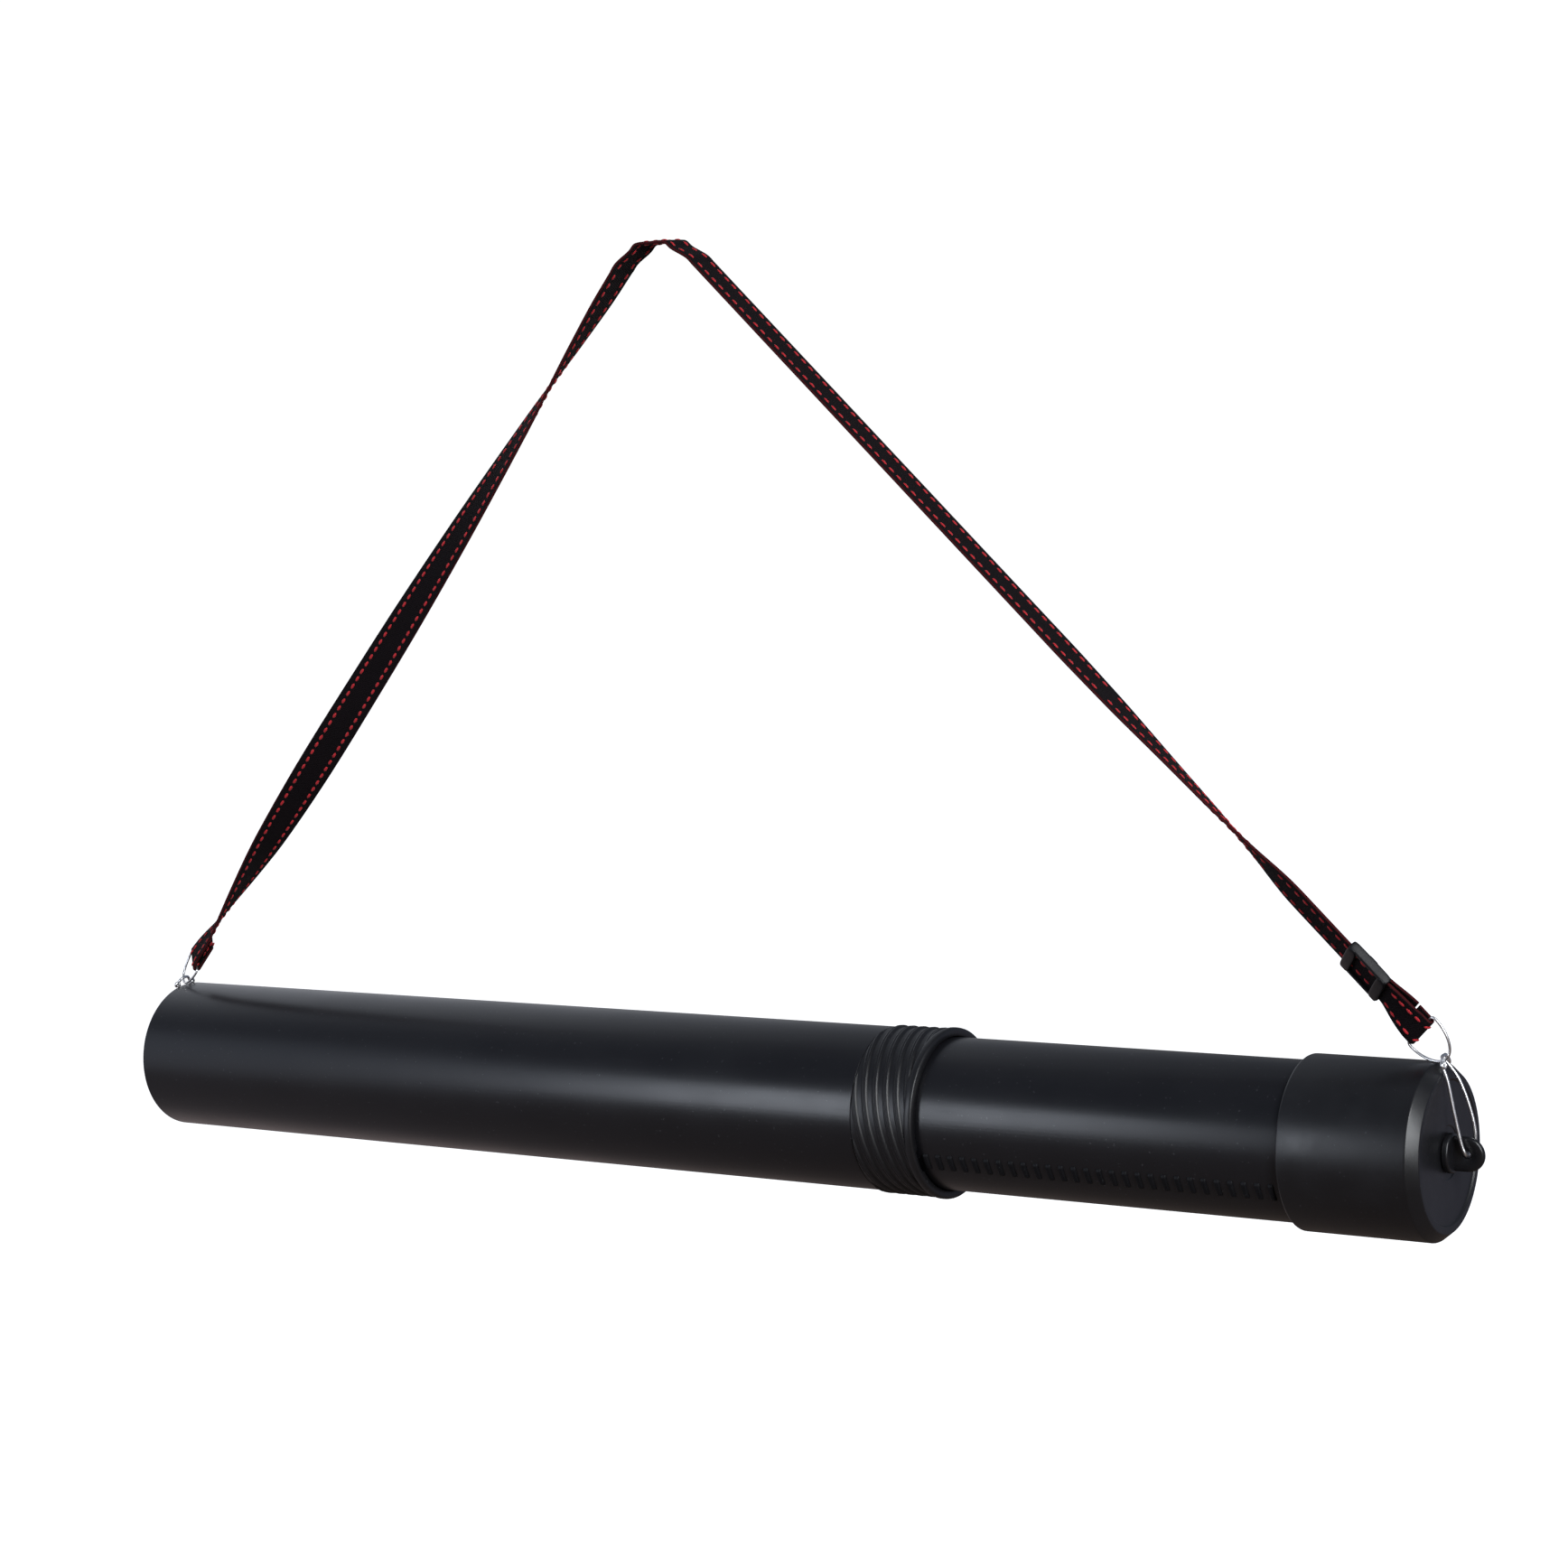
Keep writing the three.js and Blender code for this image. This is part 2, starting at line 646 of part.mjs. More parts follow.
const EYE_WALLS = { cap: CAP_END_WALL, bottom: PLUG_FLOOR };
for (const [end, out] of [["bottom", -1], ["cap", 1]]) {
  const face = EYE_FACES[end];
  add(end + "_eye", swivelEye(face, EYE_WALLS[end], out), darkPlastic);
  add(end + "_eye_washer", eyeWasher(face, EYE_WALLS[end], out), steel);
  add(end + "_hook", hook(face + out * EYE_REACH, out, HOOK_LEANS[end]), steel);
  add(end + "_ring", dRing(out < 0 ? "left" : "right"), steel);
}

const LEFT_SPLITS = [26, 110, LEGS.left.length - 16];
const RIGHT_SPLITS = [100, 220, LEGS.right.length - 16];
add("strap_left_loop", turnRound("left", LEFT_SPLITS[0], 18), webbing);
add("strap_left_lower", legBand("left", LEFT_SPLITS[0] + GAP, LEFT_SPLITS[1]), webbing);
add("strap_left_run", legBand("left", LEFT_SPLITS[1] + GAP, LEFT_SPLITS[2], 14), webbing);
add("strap_top", strapTop(), webbing);
add("strap_right_run", legBand("right", RIGHT_SPLITS[1] + GAP, RIGHT_SPLITS[2], 26), webbing);
add("strap_right_lower", legBand("right", RIGHT_SPLITS[0] + GAP, RIGHT_SPLITS[1]), webbing);
add("strap_right_end", legBand("right", 24, RIGHT_SPLITS[0], 14), webbing);
add("strap_right_loop", turnRound("right", 24 - GAP, 8), webbing);
add("strap_tail", strapTail(), webbing);
add("strap_slider", strapSlider(), darkPlastic);

export default assembly;
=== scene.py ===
"""A telescopic drawing tube on its carrying strap, built round its CAD model.

Lengths are in millimetres until place() puts them in the part's frame in metres: x runs along the
tube from the rim of its closed end, y across it (the viewer's side is negative), z up from its axis.
"""
import math

import bmesh
import bpy
import numpy as np
from mathutils import Matrix, Vector


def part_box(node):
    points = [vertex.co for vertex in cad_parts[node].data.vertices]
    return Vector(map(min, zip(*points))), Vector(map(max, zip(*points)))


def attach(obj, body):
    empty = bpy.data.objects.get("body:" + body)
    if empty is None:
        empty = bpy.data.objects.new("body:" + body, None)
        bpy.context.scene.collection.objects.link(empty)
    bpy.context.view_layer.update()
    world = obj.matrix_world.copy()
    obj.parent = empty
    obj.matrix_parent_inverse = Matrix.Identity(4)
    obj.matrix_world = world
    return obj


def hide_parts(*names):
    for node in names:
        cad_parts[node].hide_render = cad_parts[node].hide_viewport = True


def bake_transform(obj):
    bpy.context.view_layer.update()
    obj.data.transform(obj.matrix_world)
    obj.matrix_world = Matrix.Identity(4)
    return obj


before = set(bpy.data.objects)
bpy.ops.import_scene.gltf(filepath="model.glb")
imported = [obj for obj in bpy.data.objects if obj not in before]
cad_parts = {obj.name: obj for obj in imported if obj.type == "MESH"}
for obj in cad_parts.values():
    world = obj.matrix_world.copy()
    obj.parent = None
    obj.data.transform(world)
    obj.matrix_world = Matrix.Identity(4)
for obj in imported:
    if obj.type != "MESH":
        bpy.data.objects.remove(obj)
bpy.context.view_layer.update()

# ---- Sizes, in millimetres ----
MM = 0.001
GAP = 0.3  # between pieces that touch
SLIDE_GAP = 0.4  # between pieces that slide in one another
TUBE_LOW, TUBE_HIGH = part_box("outer_tube")
RIM_X = TUBE_LOW.x
AXIS_Z = (TUBE_LOW.z + TUBE_HIGH.z) / 2


def ends(node):
    """Where a node starts and ends along the tube, in millimetres from the rim."""
    return [(corner.x - RIM_X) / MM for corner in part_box(node)]


TUBE_R = (TUBE_HIGH.z - TUBE_LOW.z) / 2 / MM
TUBE_WALL = 2.0
SPIGOT_WALL = 1.0
_, SPIGOT_END_X = ends("outer_tube")
COLLAR_X, MOUTH_X = ends("lock_collar")
LIP_WIDTH = 4.6
LIP_PROUD = 1.5
GRIP_PROUD = 1.6  # a grip rib over its grooves
GRIP_FLOOR = 0.4  # the grooves' depth under the tube's surface
GRIP_STARTS = 8
GRIP_LEAD = 50.4
GRIP_RIB = 0.6  # share of the grip's pitch that its rib takes
GRIP_COLUMNS = 24  # points round the collar for one rib and its groove

INNER_X, INNER_END_X = ends("inner_tube")
INNER_R = 39.1
INNER_WALL = 1.8
STOP_RING_X, STOP_RING_END_X = ends("stop_ring")
STOP_RING_DEPTH = 0.8  # of its seat in the inner tube

CAP_EDGE_X, CAP_FACE_X = ends("end_cap")
CAP_BEVEL_X, CAP_BEVEL_R = 5.4, 4.5
CAP_RECESS = 1.0
CAP_RING_WIDTH = 3.4
CAP_END_WALL = 3.3
CAP_BORE_R = INNER_R + SLIDE_GAP

RIB_PITCH = 7.0
RIB_WIDTH = 3.0
RIB_ARC = 9.9
RIB_PROUD = 1.05
RIB_OUT = 3.5  # first rib outside the collar, past its mouth
RIB_START_X = MOUTH_X + RIB_OUT
RIB_END_CLEAR = RIB_WIDTH / 2 + 0.5
RIBS_INSIDE = math.floor((RIB_START_X - STOP_RING_END_X - RIB_WIDTH) / RIB_PITCH)
RIBS_OUTSIDE = math.floor((CAP_EDGE_X - RIB_END_CLEAR - RIB_START_X) / RIB_PITCH) + 1
RIB_ANGLE = 114.2  # from the top round to the viewer's side, in degrees

LOCK_SLOTS = 2  # ribs of each row that the collar holds
FLANGE_R = INNER_R + SLIDE_GAP
FLANGE_X = RIB_START_X + RIB_END_CLEAR - (LOCK_SLOTS + 1) * RIB_PITCH
SLOT_R = 40.7  # the ring slots that hold the ribs
SLOT_WIDTH = 4.0
CHANNEL_R = SLOT_R + 0.25  # the two channels that let them pass
CHANNEL_WIDTH = 12.9

PLUG_INSET, PLUG_END_X = ends("bottom_plug")
PLUG_FLOOR = 3.3
PLUG_WALL = 2.0

STEM_R = 4.2
BOSS_R = 9.5
BOSS_HEIGHT = 3.0
HEAD_R = 5.4
HEAD_HEIGHT = 2.0
WASHER_R = 9.0
WASHER_THICK = 1.7
TAB_THICK = 3.6
TAB_R = 8.4
EYE_REACH = 9.7
EYE_HOLE_R = 1.6

WIRE_R = 0.85
HOOK_TOP = TUBE_R + 4.1  # a hook's cross bar over the hole of its eye
HOOK_HALF = 4.5
HOOK_LEANS = {"bottom": 8.0, "cap": 9.5}
CURL_R = 1.05
RING_REACH = 18.0
RING_HALF = 10.9
RING_WIRE_R = 0.68
RING_FOOT_DROP = 2.0  # centre of a D-ring's foot under the hook's cross bar
RING_CORNER = 0.7  # how far short of the straight bar a D-ring's side ends

STRAP_WIDTH = 20.0
STRAP_GATHERED = 17.4
STRAP_THICK = 1.5
HANG_X = -RIM_X / MM
HANG_Z = -AXIS_Z / MM
TOP_FLAT = 16.0
TOP_JOIN = 16.0  # where the strap's top takes over from a leg, short of the leg's end
STITCH_PITCH = 5.65
STITCH_LENGTH = 3.9
STITCH_WIDTH = 1.6
STITCH_PROUD = 0.5
STITCH_ROW = 5.9  # each row's distance from the middle of the webbing
WARP_PITCH = 0.9
WEFT_PITCH = 1.15
UV_UNIT = 100.0  # millimetres to one unit of the webbing's UV map

SLIDER_LENGTH = 25.0
SLIDER_AT = 37.0
SLIDER_RAIL = 2.3
SLIDER_END_BAR = 5.5
SLIDER_MIDDLE_BAR = 7.5
SLIDER_BAR_HEIGHT = 1.7
SLIDER_CLEAR = 0.45  # between a layer of webbing and what lies on it

# ---- The camera, at the photograph's viewing angle ----
CAMERA_AT = (0.9611, -1.3554, -0.0640)
CAMERA_RIGHT = (0.83367, 0.54723, -0.07433)
CAMERA_UP = (-0.01155, 0.15183, 0.98834)
LENS = 72.49
FLOOR_Z = -0.95


# ---- Meshes ----
def place(points):
    """Points in millimetres from the rim, in the part's frame in metres."""
    return np.asarray(points, float) * MM + np.array([RIM_X, 0, AXIS_Z])


def piece(name, points, faces, look, slot, sharp=32, uvs=None):
    """A closed mesh object with smooth shading between its sharp edges."""
    mesh = bpy.data.meshes.new(name)
    mesh.from_pydata(place(points).tolist(), [], faces)
    if uvs is not None:
        layer = mesh.uv_layers.new(name="UVMap")
        flat = [uv for face in uvs for uv in face]
        layer.data.foreach_set("uv", np.array(flat, np.float32).ravel())
    made = bmesh.new()
    made.from_mesh(mesh)
    bmesh.ops.remove_doubles(made, verts=made.verts, dist=1e-6)
    bmesh.ops.recalc_face_normals(made, faces=made.faces)
    made.to_mesh(mesh)
    made.free()
    mesh.polygons.foreach_set("use_smooth", [True] * len(mesh.polygons))
    mesh.set_sharp_from_angle(angle=math.radians(sharp))
    mesh.materials.append(look)
    obj = bpy.data.objects.new(name, mesh)
    bpy.context.scene.collection.objects.link(obj)
    return obj


def joined(*parts):
    """Several (points, faces) as one."""
    points, faces = [], []
    for more_points, more_faces in parts:
        start = len(points)
        points += [tuple(p) for p in more_points]
        faces += [tuple(i + start for i in face) for face in more_faces]
    return points, faces


def ring_faces(rings, columns, closed):
    """Quads between rings of points, each ring closed on itself."""
    faces = []
    for i in range(rings if closed else rings - 1):
        n = (i + 1) % rings
        for k in range(columns):
            side = (k + 1) % columns
            faces.append((i * columns + k, i * columns + side, n * columns + side, n * columns + k))
    return faces


def rounded(corners, steps=5):
    """A closed outline of (x, r, radius) corners, each rounded by its radius."""
    outline = []
    for i, (x, r, radius) in enumerate(corners):
        here = np.array([x, r], float)
        before = np.array(corners[i - 1][:2], float) - here
        after = np.array(corners[(i + 1) % len(corners)][:2], float) - here
        if radius <= 0:
            outline.append(tuple(here))
            continue
        reach_before, reach_after = np.linalg.norm(before), np.linalg.norm(after)
        before, after = before / reach_before, after / reach_after
        half = math.acos(max(-1.0, min(1.0, float(before @ after)))) / 2
        reach = min(radius / math.tan(half), 0.48 * reach_before, 0.48 * reach_after)
        for step in range(steps + 1):
            t = step / steps
            start, end = here + before * reach, here + after * reach
            point = start * (1 - t) ** 2 + here * 2 * t * (1 - t) + end * t**2
            outline.append(tuple(point))
    return outline


def revolved(outline, sides=144):
    """A closed outline of (x, r) points turned about the tube's axis."""
    points = []
    for x, r in outline:
        for k in range(sides):
            a = 2 * math.pi * k / sides
            points.append((x, -r * math.sin(a), r * math.cos(a)))
    return points, ring_faces(len(outline), sides, closed=True)


def swept(path, radius, sides=14, closed=False):
    """A round wire along a path of points, with round ends."""
    path = np.asarray(path, float)
    count = len(path)
    ahead = np.roll(path, -1, 0) - np.roll(path, 1, 0)
    if not closed:
        ahead[0], ahead[-1] = path[1] - path[0], path[-1] - path[-2]
    ahead /= np.linalg.norm(ahead, axis=1)[:, None]
    side = np.cross(ahead[0], [0.31, 0.17, 0.93])
    side /= np.linalg.norm(side)
    sides_at = []
    for direction in ahead:
        side = side - direction * (side @ direction)
        side /= np.linalg.norm(side)
        sides_at.append(side)
    turn = 0.0
    if closed:
        last = sides_at[-1] - ahead[0] * (sides_at[-1] @ ahead[0])
        last /= np.linalg.norm(last)
        turn = math.atan2(np.cross(last, sides_at[0]) @ ahead[0], last @ sides_at[0])
    points = []
    for i, (p, direction, side) in enumerate(zip(path, ahead, sides_at)):
        other = np.cross(direction, side)
        for k in range(sides):
            a = 2 * math.pi * k / sides + turn * i / count
            points.append(p + radius * (side * math.cos(a) + other * math.sin(a)))
    faces = ring_faces(count, sides, closed)
    if not closed:
        for ring, direction, p in ((0, -ahead[0], path[0]), (count - 1, ahead[-1], path[-1])):
            points.append(p + direction * radius * 0.6)
            for k in range(sides):
                faces.append((ring * sides + k, ring * sides + (k + 1) % sides, len(points) - 1))
    return points, faces


def smooth_path(points, steps=6, closed=False):
    """A smooth curve through points (centripetal Catmull-Rom)."""
    points = [np.asarray(p, float) for p in points]
    count = len(points)
    path = []
    for i in range(count if closed else count - 1):
        if closed:
            p0, p1, p2, p3 = (points[(i + k) % count] for k in (-1, 0, 1, 2))
        else:
            p1, p2 = points[i], points[i + 1]
            p0 = points[i - 1] if i else 2 * p1 - p2
            p3 = points[i + 2] if i + 2 < count else 2 * p2 - p1
        t1 = max(np.linalg.norm(p1 - p0), 1e-6) ** 0.5
        t2 = t1 + max(np.linalg.norm(p2 - p1), 1e-6) ** 0.5
        t3 = t2 + max(np.linalg.norm(p3 - p2), 1e-6) ** 0.5
        for step in range(steps):
            t = t1 + (t2 - t1) * step / steps
            a1 = (p0 * (t1 - t) + p1 * t) / t1
            a2 = (p1 * (t2 - t) + p2 * (t - t1)) / (t2 - t1)
            a3 = (p2 * (t3 - t) + p3 * (t - t2)) / (t3 - t2)
            b1 = (a1 * (t2 - t) + a2 * t) / t2
            b2 = (a2 * (t3 - t) + a3 * (t - t1)) / (t3 - t1)
            path.append((b1 * (t2 - t) + b2 * (t - t1)) / (t2 - t1))
    if not closed:
        path.append(points[-1])
    return path


def smoothstep(value, low, high):
    t = min(1.0, max(0.0, (value - low) / (high - low)))
    return t * t * (3 - 2 * t)


# ---- Materials ----
class Look:
    """A material's node tree, with short calls to add to it."""

    def __init__(self, name, color, roughness, metallic=0.0, specular=0.5):
        self.material = bpy.data.materials.new(name)
        self.material.use_nodes = True
        self.tree = self.material.node_tree
        self.shader = self.tree.nodes["Principled BSDF"]
        self.shader.inputs["Base Color"].default_value = (*color, 1)
        self.shader.inputs["Roughness"].default_value = roughness
        self.shader.inputs["Metallic"].default_value = metallic
        self.shader.inputs["Specular IOR Level"].default_value = specular

    def node(self, kind, settings=None, **values):
        """A node with its settings; a socket is given by name, or by number as _0."""
        made = self.tree.nodes.new("ShaderNode" + kind)
        for key, value in (settings or {}).items():
            setattr(made, key, value)
        for key, value in values.items():
            socket = made.inputs[int(key[1:])] if key[1:].isdigit() else made.inputs[key.replace("_", " ")]
            if isinstance(value, bpy.types.NodeSocket):
                self.tree.links.new(value, socket)
            else:
                socket.default_value = value
        return made

    def position(self, scale=(1, 1, 1)):
        """Places on the piece in millimetres, stretched."""
        where = self.node("TexCoord").outputs["Object"]
        scaled = tuple(s / MM for s in scale)
        return self.node("VectorMath", {"operation": "MULTIPLY"}, _0=where, _1=scaled).outputs[0]

    def noise(self, size, where=None, detail=3.0):
        """Noise with lumps of that size, in millimetres."""
        where = where or self.position()
        return self.node("TexNoise", Vector=where, Scale=1 / size, Detail=detail).outputs["Fac"]

    def mapped(self, value, low, high, to_low, to_high):
        made = self.node("MapRange", None, Value=value)
        for key, number in zip(("From Min", "From Max", "To Min", "To Max"), (low, high, to_low, to_high)):
            made.inputs[key].default_value = number
        return made.outputs["Result"]

    def math(self, operation, a, b=0.0):
        return self.node("Math", {"operation": operation}, _0=a, _1=b).outputs[0]

    def blend(self, factor, color_a, color_b):
        """color_a where factor is 0, color_b where it is 1."""
        made = self.node("Mix", {"data_type": "RGBA"})
        for key, value in ((0, factor), (6, color_a), (7, color_b)):
            if isinstance(value, bpy.types.NodeSocket):
                self.tree.links.new(value, made.inputs[key])
            else:
                made.inputs[key].default_value = (*value, 1) if isinstance(value, tuple) else value
        return made.outputs[2]

    def color(self, socket):
        self.tree.links.new(socket, self.shader.inputs["Base Color"])

    def roughness(self, socket):
        self.tree.links.new(socket, self.shader.inputs["Roughness"])

    def bump(self, *layers):
        """Layers of (height, depth in millimetres)."""
        normal = None
        for height, depth in layers:
            made = self.node("Bump", Height=height, Distance=depth * MM)
            if normal:
                self.tree.links.new(normal, made.inputs["Normal"])
            normal = made.outputs["Normal"]
        self.tree.links.new(normal, self.shader.inputs["Normal"])


def tube_plastic():
    """Satin black extruded plastic: faint lengthwise lines, handling marks and dust."""
    look = Look("satin_black_tube", (0.007, 0.007, 0.009), 0.3)
    drawn = look.noise(1.0, look.position((0.006, 1.1, 1.1)), detail=2)
    cloudy = look.noise(38.0, detail=4)
    grain = look.noise(0.55, detail=2)
    specks = look.mapped(look.noise(1.6, detail=1), 0.73, 0.78, 0, 1)
    scuffs = look.mapped(look.noise(1.0, look.position((0.035, 0.5, 0.5)), detail=3), 0.62, 0.8, 0, 1)
    base = look.blend(cloudy, (0.006, 0.006, 0.008), (0.009, 0.009, 0.011))
    base = look.blend(look.math("MULTIPLY", specks, 0.35), base, (0.10, 0.10, 0.11))
    look.color(base)
    rough = look.mapped(cloudy, 0.3, 0.7, 0.28, 0.33)
    look.roughness(look.math("ADD", rough, look.math("MULTIPLY", scuffs, 0.06)))
    look.bump((look.noise(60.0, look.position((0.25, 1, 1)), detail=1), 0.5), (drawn, 0.012), (grain, 0.010))
    return look.material


def moulded_plastic(name, roughness=0.38, grain_depth=0.014, specular=0.5):
    """Black moulded plastic: a fine spark-eroded grain, a gloss that varies a little, and dust."""
    look = Look(name, (0.007, 0.007, 0.008), roughness, specular=specular)
    cloudy = look.noise(16.0, detail=4)
    grain = look.noise(0.42, detail=2)
    specks = look.mapped(look.noise(1.4, detail=1), 0.74, 0.79, 0, 1)
    base = look.blend(cloudy, (0.006, 0.006, 0.007), (0.009, 0.009, 0.011))
    look.color(look.blend(look.math("MULTIPLY", specks, 0.3), base, (0.09, 0.09, 0.10)))
    look.roughness(look.mapped(cloudy, 0.3, 0.7, roughness - 0.04, roughness + 0.05))
    look.bump((look.noise(9.0, detail=2), 0.05), (grain, grain_depth))
    return look.material


def plated_wire():
    """Bright plated spring wire with fine drawing marks."""
    look = Look("plated_wire", (0.95, 0.95, 0.96), 0.34, metallic=1.0)
    cloudy = look.noise(2.2, detail=3)
    look.color(look.blend(cloudy, (0.88, 0.87, 0.86), (0.97, 0.97, 0.98)))
    look.roughness(look.mapped(cloudy, 0.3, 0.7, 0.3, 0.38))
    look.bump((look.noise(1.6, detail=1), 0.003))
    return look.material


def washer_steel():
    """Plain zinc-plated steel with a brushed ring grain."""
    look = Look("washer_steel", (0.55, 0.55, 0.56), 0.35, metallic=1.0)
    cloudy = look.noise(3.0, detail=3)
    look.color(look.blend(cloudy, (0.46, 0.46, 0.47), (0.62, 0.62, 0.64)))
    look.roughness(look.mapped(cloudy, 0.3, 0.7, 0.28, 0.42))
    look.bump((look.noise(0.3, look.position((1, 0.2, 0.2)), detail=2), 0.01))
    return look.material


def black_webbing():
    """Flat woven webbing with red edges. Its UV map measures across and along it, in UV_UNIT."""
    look = Look("black_webbing", (0.006, 0.004, 0.005), 0.85, specular=0.12)
    uv = look.node("UVMap", {"uv_map": "UVMap"}).outputs["UV"]
    parts = look.node("SeparateXYZ", Vector=uv).outputs
    across = look.math("MULTIPLY", parts[0], UV_UNIT)
    length = look.math("MULTIPLY", parts[1], UV_UNIT)
    warp = look.math("ABSOLUTE", look.math("SINE", look.math("MULTIPLY", across, math.pi / WARP_PITCH)))
    leaning = look.math("ADD", length, look.math("MULTIPLY", across, 0.5))
    weft = look.math("ABSOLUTE", look.math("SINE", look.math("MULTIPLY", leaning, math.pi / WEFT_PITCH)))
    weave = look.math("MULTIPLY", warp, weft)
    fuzz = look.noise(0.5, detail=3)
    patches = look.noise(14.0, detail=3)
    base = look.blend(weave, (0.002, 0.001, 0.002), (0.007, 0.004, 0.005))
    base = look.blend(look.math("MULTIPLY", patches, 0.2), base, (0.014, 0.008, 0.010))
    edge = look.mapped(look.math("ABSOLUTE", across), STRAP_WIDTH / 2 - 0.5, STRAP_WIDTH / 2, 0, 0.75)
    look.color(look.blend(edge, base, (0.075, 0.007, 0.009)))
    look.roughness(look.mapped(fuzz, 0.3, 0.7, 0.75, 0.95))
    look.shader.inputs["Sheen Weight"].default_value = 0.02
    look.shader.inputs["Sheen Roughness"].default_value = 0.4
    look.bump((weave, 0.22), (fuzz, 0.05))
    return look.material


def red_thread():
    """Twisted red sewing thread."""
    look = Look("red_thread", (0.52, 0.012, 0.020), 0.6, specular=0.3)
    strands = look.noise(0.45, look.position((1, 1, 0.4)), detail=2)
    look.color(look.blend(strands, (0.33, 0.006, 0.012), (0.68, 0.02, 0.03)))
    look.shader.inputs["Sheen Weight"].default_value = 0.15
    look.bump((strands, 0.08))
    return look.material


TUBE_LOOK = tube_plastic()
CAP_LOOK = moulded_plastic("moulded_black_cap", 0.36)
COLLAR_LOOK = moulded_plastic("moulded_black_collar", 0.40)
FITTING_LOOK = moulded_plastic("moulded_black_fitting", 0.33)
SLIDER_LOOK = moulded_plastic("moulded_black_slider", 0.42, 0.008, specular=0.2)
RIB_LOOK = moulded_plastic("moulded_black_rib", 0.5, 0.008, specular=0.12)
WIRE_LOOK = plated_wire()
WASHER_LOOK = washer_steel()
WEBBING_LOOK = black_webbing()
THREAD_LOOK = red_thread()


# ---- Tubes, collar, cap and plug ----
def outer_tube():
    bore = TUBE_R - TUBE_WALL
    spigot_r = TUBE_R - SPIGOT_WALL
    shoulder = COLLAR_X - GAP
    outline = rounded(
        [
            (0, bore, 0.4),
            (0, TUBE_R, 0.7),
            (shoulder, TUBE_R, 0.25),
            (shoulder, spigot_r, 0),
            (SPIGOT_END_X, spigot_r, 0.2),
            (SPIGOT_END_X, bore, 0.2),
        ]
    )
    obj = piece("outer_tube_shell", *revolved(outline, 180), TUBE_LOOK, "tube_plastic")
    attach(obj, "outer_tube")
    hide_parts("outer_tube")


def bottom_plug():
    r = TUBE_R - TUBE_WALL - GAP
    hole = STEM_R + SLIDE_GAP
    face = PLUG_INSET
    floor = face + PLUG_FLOOR
    outline = rounded(
        [
            (face + 1.2, hole, 0.3),
            (face + 1.2, BOSS_R + 6, 0.5),
            (face, BOSS_R + 8, 0.6),
            (face, r - 5, 0.4),
            (face + 0.5, r - 4.4, 0.3),
            (face + 0.5, r - 3.4, 0.3),
            (face, r - 2.8, 0.4),
            (face, r, 0.5),
            (PLUG_END_X, r, 0.4),
            (PLUG_END_X, r - PLUG_WALL, 0.4),
            (floor, r - PLUG_WALL, 0.8),
            (floor, hole, 0.3),
        ]
    )
    obj = piece("bottom_plug_body", *revolved(outline, 144), CAP_LOOK, "tube_plastic")
    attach(obj, "outer_tube")
    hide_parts("bottom_plug")


def grip_height(phase):
    """Height of the collar's grip at a share of its pitch: a rib of two fine rolls, then a groove."""
    if phase >= GRIP_RIB:
        return 0.0
    t = phase / GRIP_RIB
    crease = 0.3 * math.exp(-(((t - 0.55) / 0.12) ** 2))
    return math.sin(math.pi * t) ** 0.45 * (1 - crease)


def collar_rings():
    """The collar's rings of points: (x, radius by column, turn), outside, then its bore and socket."""
    columns = GRIP_COLUMNS * GRIP_STARTS
    lip = MOUTH_X - LIP_WIDTH
    grip = [grip_height(k % GRIP_COLUMNS / GRIP_COLUMNS) for k in range(columns)]
    places = [COLLAR_X + 0.05, COLLAR_X + 0.3, COLLAR_X + 0.7]
    places += list(np.linspace(COLLAR_X + 1.2, lip - 0.4, 46))
    places += [lip + step for step in (0, 0.35, 0.8, 1.5, 2.3, 3.1, 3.8)]
    places += [MOUTH_X - 0.35, MOUTH_X]
    rings = []
    for x in places:
        turn = 2 * math.pi * (x - COLLAR_X) / GRIP_LEAD
        fade = smoothstep(x, COLLAR_X, COLLAR_X + 0.9)
        middle = (x - lip - LIP_WIDTH / 2) / (LIP_WIDTH / 2)
        roll = LIP_PROUD * max(0.0, 1 - middle**4) ** 0.5 if abs(middle) < 1 else 0.0
        rib = GRIP_PROUD if x < MOUTH_X - 0.5 else 0.0
        radii = [TUBE_R + max((rib * height - GRIP_FLOOR) * fade, roll) for height in grip]
        rings.append((x, radii, turn))
    last_turn = rings[-1][2]
    bore = []
    for k in range(columns):
        a = math.degrees(2 * math.pi * k / columns + last_turn) - RIB_ANGLE
        off = abs((a + 90) % 180 - 90)
        in_channel = math.radians(off) * INNER_R < CHANNEL_WIDTH / 2
        bore.append(CHANNEL_R if in_channel else FLANGE_R)
    socket = [TUBE_R - SPIGOT_WALL + GAP] * columns
    rings.append((MOUTH_X, [r + 0.5 for r in bore], last_turn))
    rings.append((MOUTH_X - 0.5, bore, last_turn))
    slot = [CHANNEL_R + 0.3 if r == CHANNEL_R else SLOT_R for r in bore]
    for i in range(1, LOCK_SLOTS + 1):
        middle = RIB_START_X - i * RIB_PITCH
        near, far = middle + SLOT_WIDTH / 2, middle - SLOT_WIDTH / 2
        rings += [(near, bore, last_turn), (near, slot, last_turn)]
        rings += [(far, slot, last_turn), (far, bore, last_turn)]
    rings.append((FLANGE_X, bore, last_turn))
    rings.append((FLANGE_X, socket, last_turn))
    rings.append((COLLAR_X + 0.05, socket, last_turn))
    return rings, columns


